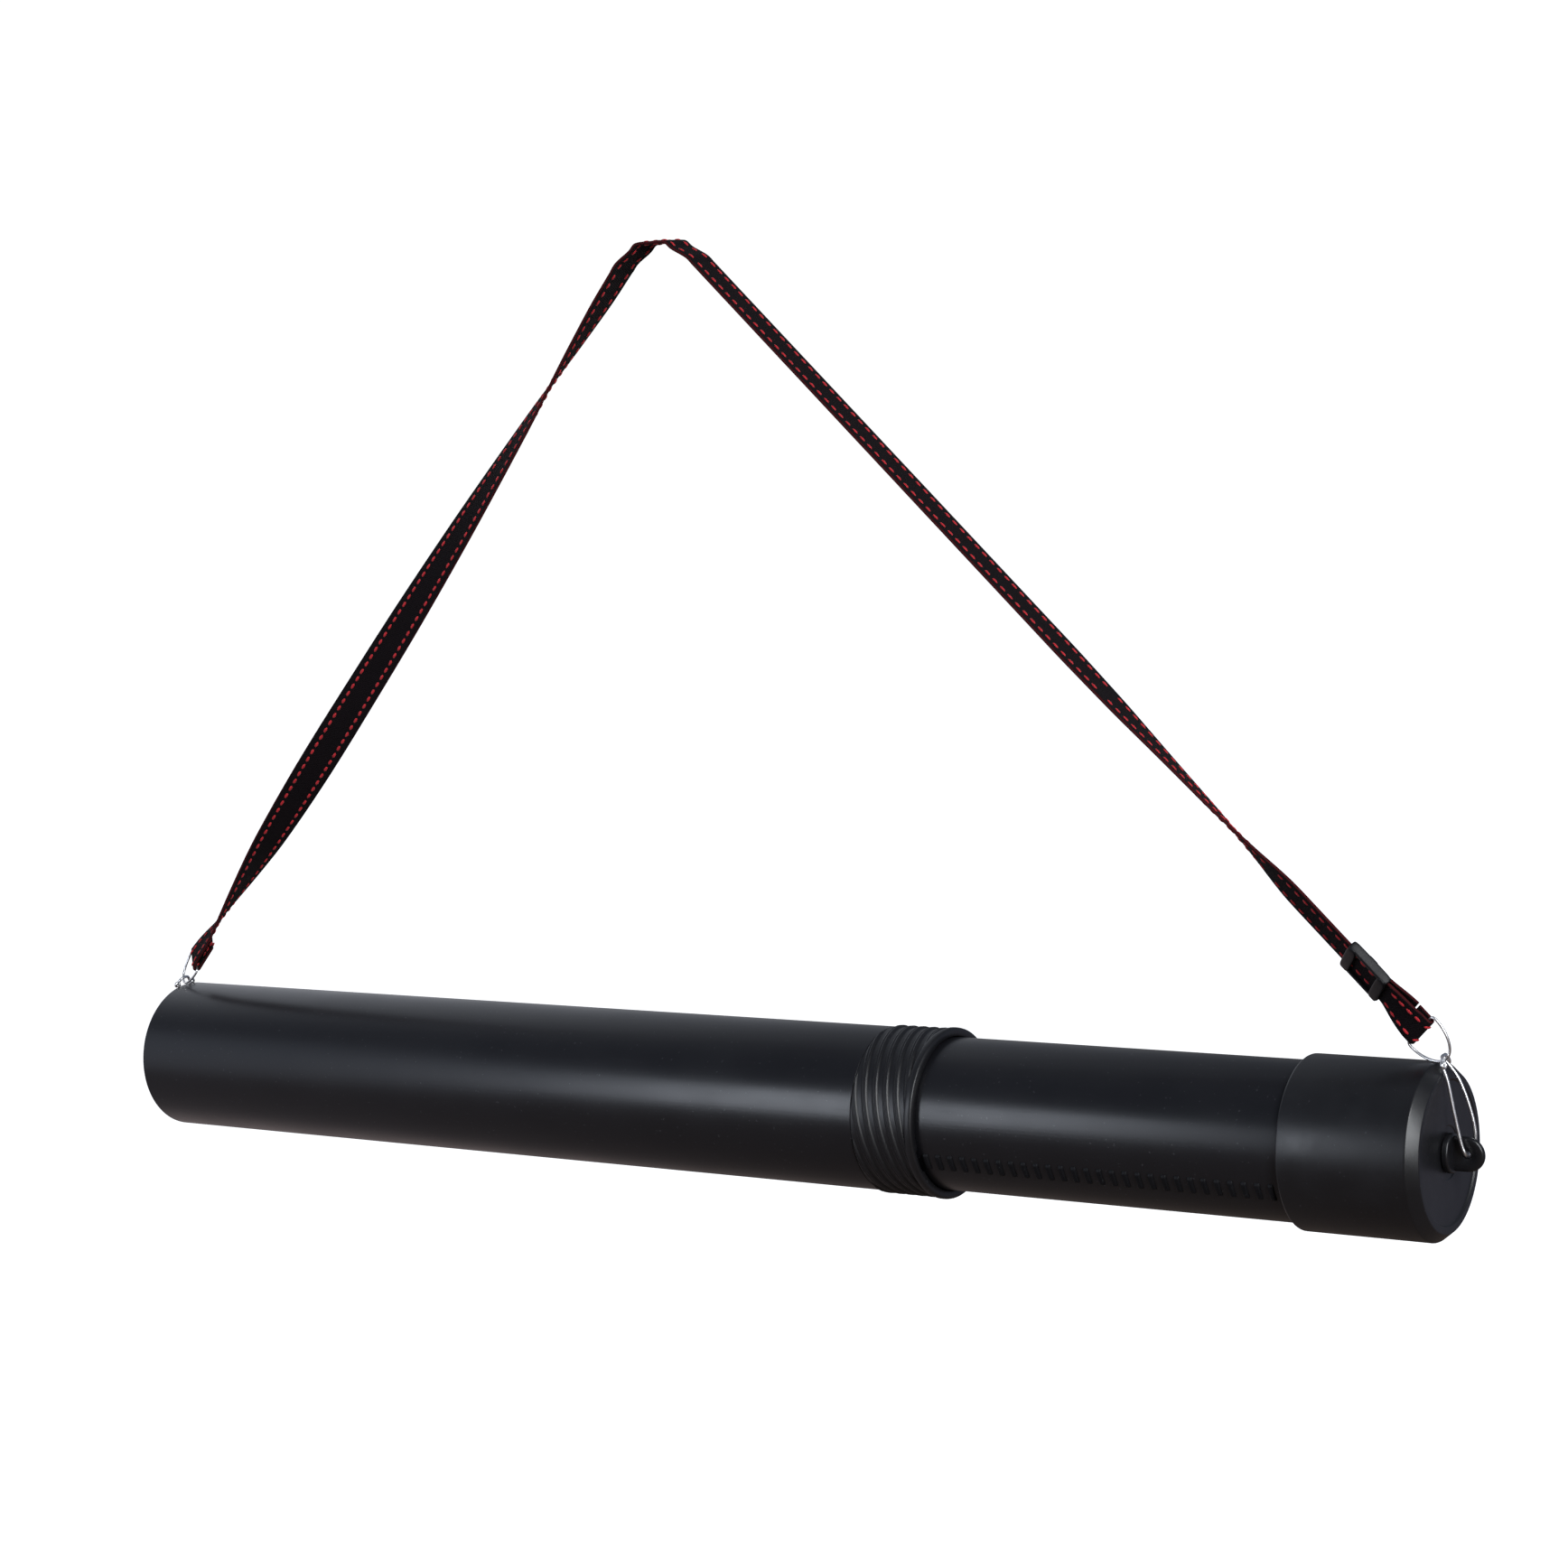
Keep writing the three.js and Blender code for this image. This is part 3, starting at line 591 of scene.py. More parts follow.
def lock_collar():
    rings, columns = collar_rings()
    points = []
    for x, radii, turn in rings:
        for k, r in enumerate(radii):
            a = 2 * math.pi * k / columns + turn
            points.append((x, -r * math.sin(a), r * math.cos(a)))
    faces = ring_faces(len(rings), columns, closed=True)
    obj = piece("lock_collar_skin", points, faces, COLLAR_LOOK, "collar_plastic", sharp=50)
    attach(obj, "outer_tube")
    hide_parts("lock_collar")


def inner_tube():
    inside = INNER_R - INNER_WALL
    seat = INNER_R - STOP_RING_DEPTH
    seat_end = STOP_RING_END_X + GAP
    outline = rounded(
        [
            (INNER_X, inside, 0.3),
            (INNER_X, seat, 0.3),
            (seat_end, seat, 0),
            (seat_end, INNER_R, 0.2),
            (INNER_END_X, INNER_R, 0.7),
            (INNER_END_X, inside, 0.3),
        ]
    )
    obj = piece("inner_tube_shell", *revolved(outline, 180), TUBE_LOOK, "tube_plastic")
    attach(obj, "inner_tube")
    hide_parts("inner_tube")


def lock_rib(x, angle):
    """One rounded lock rib on the inner tube."""
    across, along_rib = 8, 12
    points = []
    for i in range(along_rib + 1):
        u = 2 * i / along_rib - 1
        for j in range(across + 1):
            v = 2 * j / across - 1
            edge = max(abs(u) ** 10, abs(v) ** 4)
            r = INNER_R - 0.25 + (RIB_PROUD + 0.35) * max(0.0, 1 - edge) ** 0.5
            a = math.radians(angle) + u * RIB_ARC / 2 / INNER_R
            points.append((x + v * RIB_WIDTH / 2, -r * math.sin(a), r * math.cos(a)))
    row = across + 1
    faces = []
    for i in range(along_rib):
        for j in range(across):
            faces.append((i * row + j, i * row + j + 1, (i + 1) * row + j + 1, (i + 1) * row + j))
    rim = [i * row for i in range(along_rib + 1)]
    rim += [along_rib * row + j for j in range(1, row)]
    rim += [i * row + across for i in range(along_rib - 1, -1, -1)]
    rim += [j for j in range(across - 1, 0, -1)]
    faces.append(tuple(rim))
    return points, faces


def lock_ribs():
    ribs = []
    for angle in (RIB_ANGLE, RIB_ANGLE + 180):
        for k in range(-RIBS_INSIDE, RIBS_OUTSIDE):
            ribs.append(lock_rib(RIB_START_X + k * RIB_PITCH, angle))
    obj = piece("inner_tube_ribs", *joined(*ribs), RIB_LOOK, "tube_plastic", sharp=60)
    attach(obj, "inner_tube")


def stop_ring():
    low, high = STOP_RING_X, STOP_RING_END_X
    inside = INNER_R - STOP_RING_DEPTH + GAP
    outside = TUBE_R - TUBE_WALL - SLIDE_GAP
    outline = rounded([(low, inside, 0.2), (low, outside, 0.6), (high, outside, 0.6), (high, inside, 0.2)])
    obj = piece("stop_ring_body", *revolved(outline), FITTING_LOOK, "fitting_plastic")
    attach(obj, "inner_tube")
    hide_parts("stop_ring")


def end_cap():
    face_r = TUBE_R - CAP_BEVEL_R
    ring_r = face_r - CAP_RING_WIDTH
    recess = CAP_FACE_X - CAP_RECESS
    inside = recess - CAP_END_WALL
    hole = STEM_R + SLIDE_GAP
    outline = rounded(
        [
            (inside, hole, 0.2),
            (inside, CAP_BORE_R, 1.2),
            (CAP_EDGE_X, CAP_BORE_R, 0.4),
            (CAP_EDGE_X, TUBE_R, 1.3),
            (CAP_FACE_X - CAP_BEVEL_X, TUBE_R, 1.6),
            (CAP_FACE_X, face_r, 1.2),
            (CAP_FACE_X, ring_r, 0.5),
            (recess, ring_r - 0.8, 0.4),
            (recess, BOSS_R + 3.5, 0.4),
            (recess - 0.5, BOSS_R + 3.0, 0.3),
            (recess - 0.5, hole, 0.3),
        ]
    )
    obj = piece("end_cap_body", *revolved(outline, 180), CAP_LOOK, "cap_plastic", sharp=40)
    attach(obj, "end_cap")
    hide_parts("end_cap")


# ---- Swivel eyes and washers ----
def eye_tab(hole_x, out):
    """A rounded lug with a hole across it: loops round the lug, over its rim and through its hole."""
    count = 72
    half = TAB_THICK / 2
    foot = EYE_REACH - BOSS_HEIGHT + 0.4
    loops = []
    for step in range(9):
        a = math.pi * step / 8
        loops.append(("rim", 1.5 * (1 - math.sin(a)), -half * math.cos(a)))
    for step in range(7):
        a = math.pi * step / 6
        loops.append(("hole", 0.7 * (1 - math.sin(a)), half * math.cos(a)))
    points = []
    for kind, inset, y in loops:
        for k in range(count):
            a = 2 * math.pi * k / count
            c, s = math.cos(a), math.sin(a)
            if kind == "hole":
                r = EYE_HOLE_R + inset
            else:
                r = TAB_R - inset
                if c < 0:
                    r = min(r / max(abs(s), 1e-6), foot / abs(c))
            points.append((hole_x + out * r * c, y, r * s))
    return points, ring_faces(len(loops), count, closed=True)


def swivel_eye(face_x, wall, out):
    """An eye: its snap head inside the wall, its stem, its boss and its lug outside."""
    stem_start = face_x - out * (wall + 2 * GAP + WASHER_THICK)

    def at(distance):
        return face_x + out * distance

    outline = rounded(
        [
            (stem_start - out * HEAD_HEIGHT, 0, 0),
            (stem_start - out * HEAD_HEIGHT, HEAD_R, 0.8),
            (stem_start, HEAD_R, 0.3),
            (stem_start, STEM_R, 0),
            (at(GAP), STEM_R, 0),
            (at(GAP), BOSS_R, 0.3),
            (at(GAP + BOSS_HEIGHT), BOSS_R, 1.3),
            (at(GAP + BOSS_HEIGHT), 0, 0),
        ]
    )
    return joined(revolved(outline, 64), eye_tab(at(EYE_REACH), out))


def washer(face_x, wall, out):
    """The washer between the wall and the snap head."""
    inner = face_x - out * (wall + GAP)
    outer = inner - out * WASHER_THICK
    hole = STEM_R + GAP
    outline = rounded(
        [(inner, hole, 0.2), (inner, WASHER_R, 0.3), (outer, WASHER_R, 0.3), (outer, hole, 0.2)], 3
    )
    return revolved(outline, 64)


# ---- Hooks and D-rings ----
def curl(centre, x_step, start):
    """One small turn of wire about X, from an angle in degrees, ending x_step further along X."""
    turn = []
    for step in range(13):
        t = step / 12
        a = math.radians(start + 360 * t)
        offset = (x_step * t, CURL_R * math.cos(a), CURL_R * math.sin(a))
        turn.append(np.array(centre) + offset)
    return turn


def hook_wire(hole_x, out, lean):
    """One closed wire: up from the eye's hole, a curl, across, a curl, and down behind the lug."""
    half = HOOK_HALF
    shoulder = HOOK_TOP - 3.6
    front = [
        (0, 0, -0.1),
        (0, -TAB_THICK / 2 - 0.3, 0.0),
        (0, -TAB_THICK / 2 - WIRE_R - 0.9, 1.2),
        (-0.13 * lean, -half + 0.5, 5),
        (-0.42 * lean, -half + 0.1, 20),
        (-0.7 * lean, -half, 36),
    ]
    back = [
        (-0.86 * lean, half, shoulder - 3),
        (-0.46 * lean, half + 0.2, 34),
        (0.8, half + 0.4, 18),
        (2.2, half, 8),
        (0.9, TAB_THICK / 2 + WIRE_R + 0.9, 1.4),
        (0, TAB_THICK / 2 + 0.3, 0.0),
    ]
    front_curl = curl((-0.93 * lean, -half - CURL_R, shoulder), 1.8, 0)
    back_curl = curl((-0.93 * lean, half + CURL_R, shoulder), -1.8, 180)
    across = [(-lean, -half + 2, HOOK_TOP - 0.4), (-lean, 0, HOOK_TOP), (-lean, half - 2, HOOK_TOP - 0.4)]
    route = [*front, *front_curl, *across, *back_curl, *back]
    route = [(hole_x + out * x, y, z) for x, y, z in route]
    return swept(smooth_path(route, 5, closed=True), WIRE_R, 14, closed=True)


# The webbing's twist: (distance from the D-ring's bar, degrees). At 0 its width lies along Y.
TWISTS = {
    "left": [
        (0, 233), (47, 198), (98, 159), (165, 124), (207, 108), (270, 92),
        (351, 66), (427, 38), (466, 18), (502, 3), (532, 0),
    ],
    "right": [
        (0, -76), (4, -76), (22, -46), (91, -46), (113, -32),
        (140, -20), (176, -13), (211, -4), (247, 0),
    ],
}
EYE_HOLES_X = {"left": PLUG_INSET - EYE_REACH, "right": CAP_FACE_X - CAP_RECESS + EYE_REACH}
FRONT = np.array([0.0, -1.0, 0.0])


def normalised(v):
    return v / np.linalg.norm(v)


class Leg:
    """One straight leg of the strap, from its D-ring's bar to the top."""

    def __init__(self, side, lean, out):
        hook_bar = np.array([EYE_HOLES_X[side] - out * lean, 0, HOOK_TOP])
        self.corner = np.array([HANG_X + out * (TOP_FLAT / 2 + 7), 0, HANG_Z - 0.5])
        self.ahead = normalised(self.corner - hook_bar)
        self.bar = hook_bar + self.ahead * (RING_REACH - RING_FOOT_DROP)
        self.length = np.linalg.norm(self.corner - self.bar)
        up = np.array([-self.ahead[2], 0, self.ahead[0]])
        self.up = up if up[2] > 0 else -up
        self.twists = TWISTS[side]

    def twist(self, s):
        """The twist at a distance, eased between the listed places."""
        places = [at for at, _ in self.twists]
        values = [value for _, value in self.twists]
        near = [float(np.interp(s + step, places, values)) for step in (-9, -4.5, 0, 4.5, 9)]
        eased = sum(n * w for n, w in zip(near, (1, 2, 3, 2, 1))) / 9
        keep = smoothstep(s, 0, 14)
        return math.radians(near[2] * (1 - keep) + eased * keep)

    def frame(self, s):
        """(place, face normal, width direction, width) of the webbing at a distance."""
        a = self.twist(s)
        face = self.up * math.cos(a) + FRONT * math.sin(a)
        width = self.up * math.sin(a) - FRONT * math.cos(a)
        wide = STRAP_GATHERED + (STRAP_WIDTH - STRAP_GATHERED) * smoothstep(s, 3, 20)
        return self.bar + self.ahead * s, face, width, wide


LEGS = {"left": Leg("left", HOOK_LEANS["bottom"], -1), "right": Leg("right", HOOK_LEANS["cap"], 1)}


def d_ring(side):
    """A round-wire D-ring in the plane of its leg and the webbing's width."""
    leg = LEGS[side]
    _, _, width, _ = leg.frame(0)
    controls = np.array([(RING_HALF, RING_REACH - 2.2), (RING_HALF, 8), (6, 0), (0, 0)])
    outline = []
    for t in np.linspace(0, 1, 15):
        shares = ((1 - t) ** 3, 3 * t * (1 - t) ** 2, 3 * t**2 * (1 - t), t**3)
        outline.append(tuple(shares @ controls))
    outline += [(-x, reach) for x, reach in reversed(outline[:-1])]
    shoulder = RING_HALF - 1.2
    corner = RING_HALF - RING_CORNER / 2
    outline += [(-corner, RING_REACH - RING_CORNER), (-shoulder, RING_REACH)]
    outline += [(t * shoulder, RING_REACH) for t in (-0.5, 0, 0.5, 1)]
    outline += [(corner, RING_REACH - RING_CORNER)]
    foot = leg.bar - leg.ahead * RING_REACH
    path = [foot + width * x + leg.ahead * reach for x, reach in outline]
    return swept(smooth_path(path, 4, closed=True), RING_WIRE_R, 14, closed=True)


# ---- Webbing ----
def webbing_section():
    """The webbing's rounded section: shares of its half width and half thickness."""
    top = [(u, 1.0) for u in (-0.955, -0.75, -0.5, -0.25, 0, 0.25, 0.5, 0.75, 0.955)]
    edge = [(0.985, 0.72), (1.0, 0.0), (0.985, -0.72)]
    return top + edge + [(-u, -v) for u, v in top] + [(-u, -v) for u, v in edge]


def webbing(frames):
    """A closed band through (place, face, width direction, width) frames, with its UV map."""
    section = webbing_section()
    columns = len(section)
    points, measured, distance = [], [], 0.0
    for i, (at, face, width, wide) in enumerate(frames):
        if i:
            distance += float(np.linalg.norm(at - frames[i - 1][0]))
        for u, v in section:
            points.append(at + width * (u * wide / 2) + face * (v * STRAP_THICK / 2))
            measured.append((u * STRAP_WIDTH / 2 / UV_UNIT, distance / UV_UNIT))
    faces = ring_faces(len(frames), columns, closed=False)
    last = (len(frames) - 1) * columns
    faces.append(tuple(range(columns)))
    faces.append(tuple(last + k for k in range(columns)))
    uvs = [[measured[i] for i in face] for face in faces]
    return points, faces, uvs


def stitch(frame_at, row, side):
    """One flat oval stitch on a face of the webbing, its ends drawn in."""
    at, face, width, wide = frame_at
    ahead = np.cross(width, face)
    middle = at + width * row * wide / STRAP_WIDTH + face * side * STRAP_THICK / 2
    rings, columns = 7, 8
    points = []
    for i in range(rings):
        t = 2 * i / (rings - 1) - 1
        swell = max(0.12, 1 - abs(t) ** 3) ** 0.5
        sink = -0.22 * abs(t) ** 3
        for k in range(columns):
            a = 2 * math.pi * k / columns
            across = STITCH_WIDTH / 2 * swell * math.cos(a)
            high = STITCH_PROUD * swell * math.sin(a) + sink
            points.append(middle + ahead * t * STITCH_LENGTH / 2 + width * across + face * side * high)
    faces = ring_faces(rings, columns, closed=False)
    faces.append(tuple(range(columns)))
    faces.append(tuple((rings - 1) * columns + k for k in range(columns)))
    return points, faces


def stitches_at(frame_at):
    """The four stitches of one place: two rows on each face."""
    return [stitch(frame_at, row, side) for side in (1, -1) for row in (-STITCH_ROW, STITCH_ROW)]


def leg_webbing(leg, start, end):
    steps = max(3, round((end - start) / 3) + 1)
    return [leg.frame(s) for s in np.linspace(start, end, steps)]


def leg_stitches(leg, start, end):
    """Two rows of stitches on each face, in step from the leg's start."""
    made = []
    first = math.ceil((start + STITCH_LENGTH / 2) / STITCH_PITCH)
    last = math.floor((end - STITCH_LENGTH / 2) / STITCH_PITCH)
    for i in range(first, last + 1):
        made += stitches_at(leg.frame(i * STITCH_PITCH))
    return made


def bend_stitches(frames, start, end_gap):
    """Two rows of stitches on each face of webbing that bends, measured along its frames."""
    made = []
    places = np.array([at for at, _, _, _ in frames])
    lengths = np.concatenate([[0], np.cumsum(np.linalg.norm(np.diff(places, axis=0), axis=1))])
    for s in np.arange(start, lengths[-1] - end_gap, STITCH_PITCH):
        made += stitches_at(frames[int(np.searchsorted(lengths, s))])
    return made


def turn_round_ring(leg, start, end):
    """The end of a leg, turned back round its D-ring's bar."""
    r = RING_WIRE_R + STRAP_THICK / 2 + 0.25
    frames = []
    for s in np.linspace(start, 4, 9):
        at, face, width, wide = leg.frame(s)
        share = min(1.0, (start - s) / (start - 4))
        frames.append((at - face * r * smoothstep(share, 0, 1), face, width, wide))
    _, face, width, wide = leg.frame(0)
    for step in range(13):
        a = math.pi * step / 12
        out = -face * math.cos(a) - leg.ahead * math.sin(a)
        frames.append((leg.bar + out * r, -out, width, wide))
    for s in np.linspace(1, end, 5):
        frames.append((leg.bar + face * r + leg.ahead * s, -face, width, wide))
    return frames


def add_webbing(name, frames, nodes, stitches, follow):
    """A stretch of webbing and its stitching; follow() puts each of them on a body or bakes its placement
    into its mesh.
    """
    points, faces, uvs = webbing(frames)
    band = piece(name, points, faces, WEBBING_LOOK, "webbing", sharp=50, uvs=uvs)
    follow(band)
    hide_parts(*nodes)
    if stitches:
        thread = piece(name + "_stitching", *joined(*stitches), THREAD_LOOK, "webbing", sharp=70)
        follow(thread)


def add_stretch(node, leg, start, end, follow):
    """The stretch of a leg that a CAD node stands for."""
    stitches = leg_stitches(leg, start, end)
    add_webbing(node + "_band", leg_webbing(leg, start, end), [node], stitches, follow)


def rides(body):
    return lambda obj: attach(obj, body)


def blends(leg, start, end):
    """For a stretch between two distances along a leg: bakes its placement into its mesh and puts it on no
    body.
    """
    start_at, end_at = (tuple(place([leg.frame(s)[0]])[0]) for s in (start, end))
    return lambda obj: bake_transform(obj)


LEFT_SPLITS = (26, 110)
RIGHT_SPLITS = (24, 100, 220)


def left_leg():
    leg = LEGS["left"]
    end = leg.length - TOP_JOIN
    lower, upper = LEFT_SPLITS
    loop = turn_round_ring(leg, lower, 18)
    stitches = bend_stitches(loop, STITCH_PITCH / 2, 1)
    add_webbing("strap_left_end", loop, ["strap_left_loop"], stitches, rides("bottom_hook"))
    follow = blends(leg, lower, upper)
    add_stretch("strap_left_lower", leg, lower, upper, follow)
    follow = blends(leg, upper, end)
    add_stretch("strap_left_run", leg, upper, end, follow)


def right_leg():
    leg = LEGS["right"]
    end = leg.length - TOP_JOIN
    near, middle, far = RIGHT_SPLITS
    loop = turn_round_ring(leg, near, 8)
    stitches = bend_stitches(loop, STITCH_PITCH / 2, 1)
    add_webbing("strap_right_turn", loop, ["strap_right_loop"], stitches, rides("cap_hook"))
    add_stretch("strap_right_end", leg, near, middle, rides("cap_hook"))
    follow = blends(leg, middle, far)
    add_stretch("strap_right_lower", leg, middle, far, follow)
    follow = blends(leg, far, end)
    add_stretch("strap_right_run", leg, far, end, follow)


def strap_tail():
    """The short second layer of webbing between the D-ring and the slider."""
    leg = LEGS["right"]
    start, end = 9.0, SLIDER_AT - 1.5
    frames = []
    for s in np.linspace(start, end, 12):
        at, face, width, wide = leg.frame(s)
        lift = STRAP_THICK + SLIDER_CLEAR + 0.8 * (1 - (s - start) / (end - start))
        frames.append((at + face * lift, face, width, wide))
    follow = blends(leg, start + 6, end - 2)
    add_webbing("strap_tail_band", frames, ["strap_tail"], [], follow)


def strap_top():
    """The flat top of the strap, with a rounded shoulder on each side."""
    middle = HANG_Z + STRAP_THICK / 2 + 0.05
    half = TOP_FLAT / 2
    left, right = LEGS["left"], LEGS["right"]
    route = [left.frame(left.length - short)[0] for short in (TOP_JOIN, TOP_JOIN - 5)]
    route += [(HANG_X - half - 5.2, 0, middle - 3.6), (HANG_X - half - 1.8, 0, middle - 0.6)]
    route += [(HANG_X - half + 1, 0, middle), (HANG_X, 0, middle), (HANG_X + half - 1, 0, middle)]
    route += [(HANG_X + half + 1.8, 0, middle - 0.6), (HANG_X + half + 5.2, 0, middle - 3.6)]
    route += [right.frame(right.length - short)[0] for short in (TOP_JOIN - 5, TOP_JOIN)]
    path = np.array(smooth_path(route, 5))
    ahead = np.gradient(path, axis=0)
    width = left.frame(left.length)[2]
    frames = []
    for at, direction in zip(path, ahead):
        face = normalised(np.array([-direction[2], 0, direction[0]]))
        frames.append((at, face, width, STRAP_WIDTH))
    stitches = bend_stitches(frames, 3.0, 2)
    add_webbing("strap_top_band", frames, ["strap_top"], stitches, rides("inner_tube"))


def rounded_box(middle, axes, halves, power=0.3, around=28, levels=11):
    """A box with soft edges: its middle, three directions and three half sizes."""

    def soft(value):
        return math.copysign(abs(value) ** power, value)

    points = []
    for i in range(levels):
        b = math.pi * (i / (levels - 1) - 0.5) * 0.998
        for k in range(around):
            a = 2 * math.pi * (k + 0.5) / around
            ring = soft(math.cos(b))
            shares = (ring * soft(math.cos(a)), ring * soft(math.sin(a)), soft(math.sin(b)))
            offsets = [axis * half * share for axis, half, share in zip(axes, halves, shares)]
            points.append(middle + sum(offsets))
    faces = ring_faces(levels, around, closed=False)
    faces.append(tuple(range(around)))
    faces.append(tuple((levels - 1) * around + k for k in range(around)))
    return points, faces


def strap_slider():
    """A moulded slider: two rails, an end bar under the webbing at each end and a middle bar over it."""
    leg = LEGS["right"]
    at, face, width, _ = leg.frame(SLIDER_AT)
    inside = STRAP_WIDTH / 2 + GAP
    clear = STRAP_THICK / 2 + SLIDER_CLEAR
    bar_high = clear + SLIDER_BAR_HEIGHT / 2
    axes = (leg.ahead, width, face)
    parts = []
    for side in (-1, 1):
        middle = at + width * side * (inside + SLIDER_RAIL / 2)
        halves = (SLIDER_LENGTH / 2, SLIDER_RAIL / 2, clear + SLIDER_BAR_HEIGHT * 0.7)
        parts.append(rounded_box(middle, axes, halves))
        middle = at + leg.ahead * side * (SLIDER_LENGTH - SLIDER_END_BAR) / 2 - face * bar_high
        halves = (SLIDER_END_BAR / 2, inside + SLIDER_RAIL, SLIDER_BAR_HEIGHT / 2)
        parts.append(rounded_box(middle, axes, halves, 0.4))
    halves = (SLIDER_MIDDLE_BAR / 2, inside + SLIDER_RAIL, SLIDER_BAR_HEIGHT / 2)
    parts.append(rounded_box(at + face * bar_high, axes, halves, 0.4))
    obj = piece("strap_slider_body", *joined(*parts), SLIDER_LOOK, "slider_plastic", sharp=60)
    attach(obj, "strap_slider")
    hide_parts("strap_slider")


def end_fittings():
    """The eye, washer, hook and D-ring at each end of the tube."""
    ends = (
        ("bottom", "left", PLUG_INSET, PLUG_FLOOR, -1),
        ("cap", "right", CAP_FACE_X - CAP_RECESS, CAP_END_WALL, 1),
    )
    for end, side, face_x, wall, out in ends:
        eye_mesh = swivel_eye(face_x, wall, out)
        eye = piece(end + "_eye_body", *eye_mesh, FITTING_LOOK, "fitting_plastic", sharp=40)
        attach(eye, end + "_eye")
        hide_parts(end + "_eye")
        disc = piece(end + "_washer_body", *washer(face_x, wall, out), WASHER_LOOK, "washer_steel")
        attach(disc, end + "_eye")
        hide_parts(end + "_eye_washer")
        wire = hook_wire(face_x + out * EYE_REACH, out, HOOK_LEANS[end])
        hook = piece(end + "_hook_wire", *wire, WIRE_LOOK, "spring_wire", sharp=80)
        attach(hook, end + "_hook")
        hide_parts(end + "_hook")
        ring = piece(end + "_ring_wire", *d_ring(side), WIRE_LOOK, "spring_wire", sharp=80)
        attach(ring, end + "_hook")
        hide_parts(end + "_ring")


# ---- The studio ----
def camera():
    data = bpy.data.cameras.new("camera")
    data.lens = LENS
    data.sensor_width = 36
    data.clip_end = 50
    cam = bpy.data.objects.new("camera", data)
    right, up = Vector(CAMERA_RIGHT).normalized(), Vector(CAMERA_UP).normalized()
    back = right.cross(up).normalized()
    turn = Matrix((right, up, back)).transposed().to_4x4()
    cam.matrix_world = Matrix.Translation(CAMERA_AT) @ turn
    bpy.context.scene.collection.objects.link(cam)
    bpy.context.scene.camera = cam


def softbox(name, at, towards, size, power, color=(1, 1, 1)):
    data = bpy.data.lights.new(name, "AREA")
    data.shape = "RECTANGLE"
    data.size, data.size_y = size
    data.energy = power
    data.color = color
    light = bpy.data.objects.new(name, data)
    light.location = at
    light.rotation_mode = "QUATERNION"
    light.rotation_quaternion = (Vector(at) - Vector(towards)).to_track_quat("Z", "Y")
    bpy.context.scene.collection.objects.link(light)


def floor():
    mesh = bpy.data.meshes.new("floor")
    half = 12.0
    corners = [(-half, -half), (half, -half), (half, half), (-half, half)]
    mesh.from_pydata([(x, y, FLOOR_Z) for x, y in corners], [], [(0, 1, 2, 3)])
    obj = bpy.data.objects.new("floor", mesh)
    bpy.context.scene.collection.objects.link(obj)
    look = Look("pale_floor", (0.9, 0.9, 0.9), 0.9)
    look.shader.inputs["Emission Color"].default_value = (1, 1, 1, 1)
    look.shader.inputs["Emission Strength"].default_value = 0.9
    mesh.materials.append(look.material)
    obj.visible_glossy = False
    obj.visible_diffuse = False


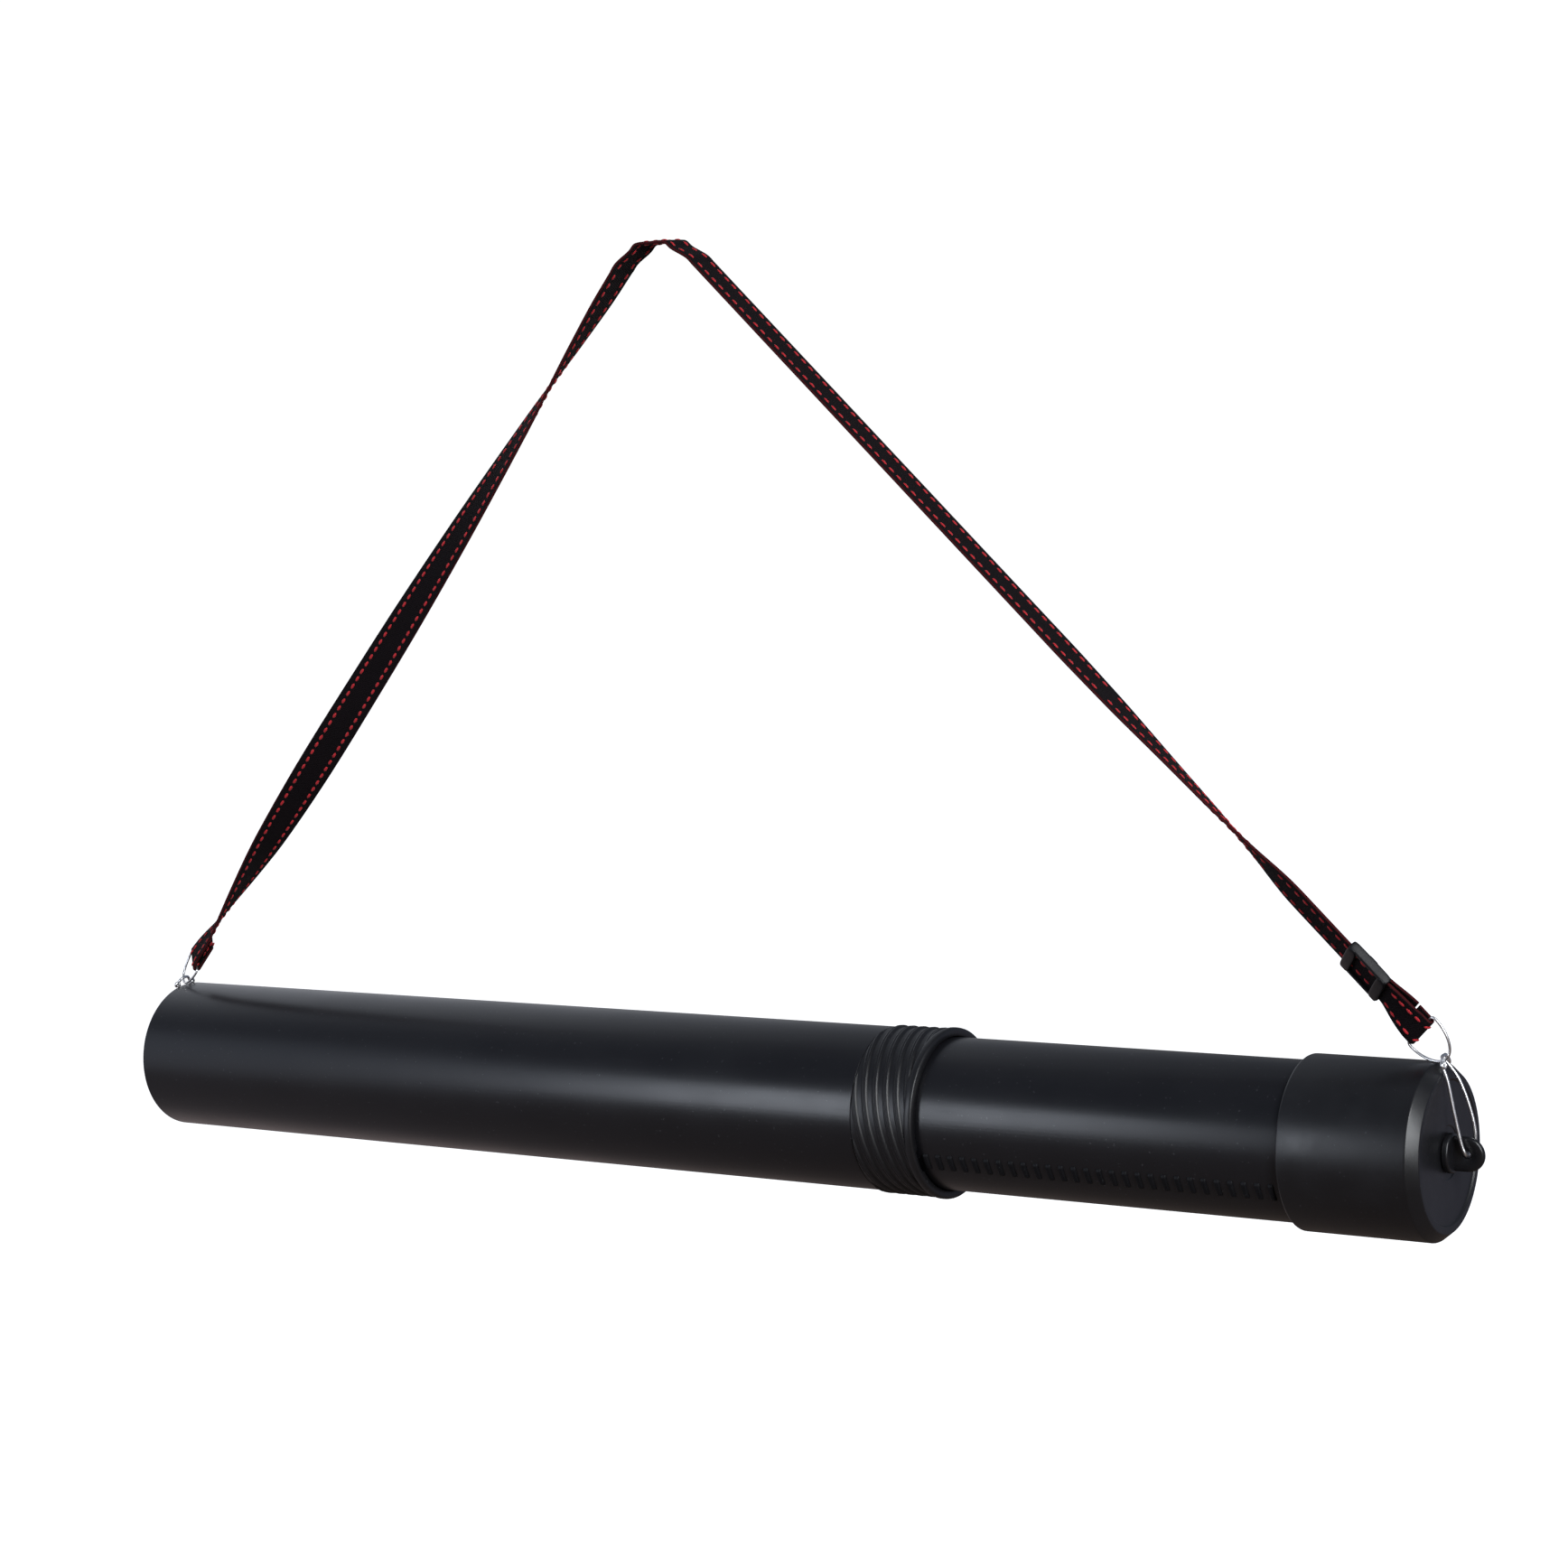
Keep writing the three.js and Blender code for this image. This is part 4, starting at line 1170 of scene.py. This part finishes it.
def studio():
    """White where the camera looks past the object, dim surroundings to light it, and softboxes."""
    world = bpy.data.worlds.new("studio")
    bpy.context.scene.world = world
    world.use_nodes = True
    tree = world.node_tree
    tree.nodes.clear()
    seen = tree.nodes.new("ShaderNodeBackground")
    seen.inputs["Color"].default_value = (1, 1, 1, 1)
    seen.inputs["Strength"].default_value = 1.05
    around = tree.nodes.new("ShaderNodeBackground")
    links = tree.links
    direction = tree.nodes.new("ShaderNodeTexCoord").outputs["Generated"]

    def glow(towards, low, high, dark, bright):
        """A colour that goes from dark to bright as the direction turns towards a place."""
        dot = tree.nodes.new("ShaderNodeVectorMath")
        dot.operation = "DOT_PRODUCT"
        links.new(direction, dot.inputs[0])
        dot.inputs[1].default_value = Vector(towards).normalized()
        spread = tree.nodes.new("ShaderNodeMapRange")
        spread.interpolation_type = "SMOOTHSTEP"
        spread.inputs["From Min"].default_value = low
        spread.inputs["From Max"].default_value = high
        links.new(dot.outputs["Value"], spread.inputs["Value"])
        mix = tree.nodes.new("ShaderNodeMix")
        mix.data_type = "RGBA"
        links.new(spread.outputs["Result"], mix.inputs[0])
        mix.inputs[6].default_value = (*dark, 1)
        mix.inputs[7].default_value = (*bright, 1)
        return mix.outputs[2]

    def combined(operation, a, b):
        total = tree.nodes.new("ShaderNodeVectorMath")
        total.operation = operation
        links.new(a, total.inputs[0])
        links.new(b, total.inputs[1])
        return total.outputs[0]

    black, white = (0, 0, 0), (1, 1, 1)
    light = glow((0, 0, 1), -0.3, 0.4, (0.125, 0.100, 0.090), (0.085, 0.098, 0.122))
    light = combined("ADD", light, glow((-1, 0, 0), 0.38, 0.75, black, (0.09, 0.095, 0.12)))
    behind = glow((0, 1, 0), -0.3, 0.5, black, white)
    above = glow((0, 0, 1), -0.4, 0.0, black, white)
    backdrop = glow((-1, 0, 0), 0.30, 0.80, (0.02, 0.02, 0.02), (0.52, 0.54, 0.57))
    light = combined("ADD", light, combined("MULTIPLY", combined("MULTIPLY", behind, above), backdrop))
    patches = (
        ((-0.85, 0.45, -0.5), 0.90, 1.0, (0.16, 0.12, 0.11)),
        ((-0.76, -0.61, 0.16), 0.89, 0.99, (0.36, 0.40, 0.48)),
        ((0.57, 0.81, -0.1), 0.75, 1.0, (0.03, 0.06, 0.12)),
    )
    for towards, low, high, color in patches:
        light = combined("ADD", light, glow(towards, low, high, black, color))
    links.new(light, around.inputs["Color"])
    path = tree.nodes.new("ShaderNodeLightPath")
    mix = tree.nodes.new("ShaderNodeMixShader")
    out = tree.nodes.new("ShaderNodeOutputWorld")
    links.new(path.outputs["Is Camera Ray"], mix.inputs["Fac"])
    links.new(around.outputs[0], mix.inputs[1])
    links.new(seen.outputs[0], mix.inputs[2])
    links.new(mix.outputs[0], out.inputs["Surface"])

    middle = (0, 0, AXIS_Z)
    softbox("key_softbox", (-0.95, -1.9, 0.02), middle, (0.42, 1.0), 10.5, (0.84, 0.90, 1.0))
    softbox("right_softbox", (2.3, -1.3, 0.85), (0.4, 0, AXIS_Z), (0.9, 2.2), 75, (0.94, 0.97, 1.0))
    softbox("front_fill", (2.2, -1.2, 2.1), middle, (0.8, 0.8), 8)


camera()
outer_tube()
bottom_plug()
lock_collar()
inner_tube()
lock_ribs()
stop_ring()
end_cap()
end_fittings()
left_leg()
right_leg()
strap_tail()
strap_top()
strap_slider()
floor()
studio()
bpy.context.scene.view_settings.view_transform = "Standard"
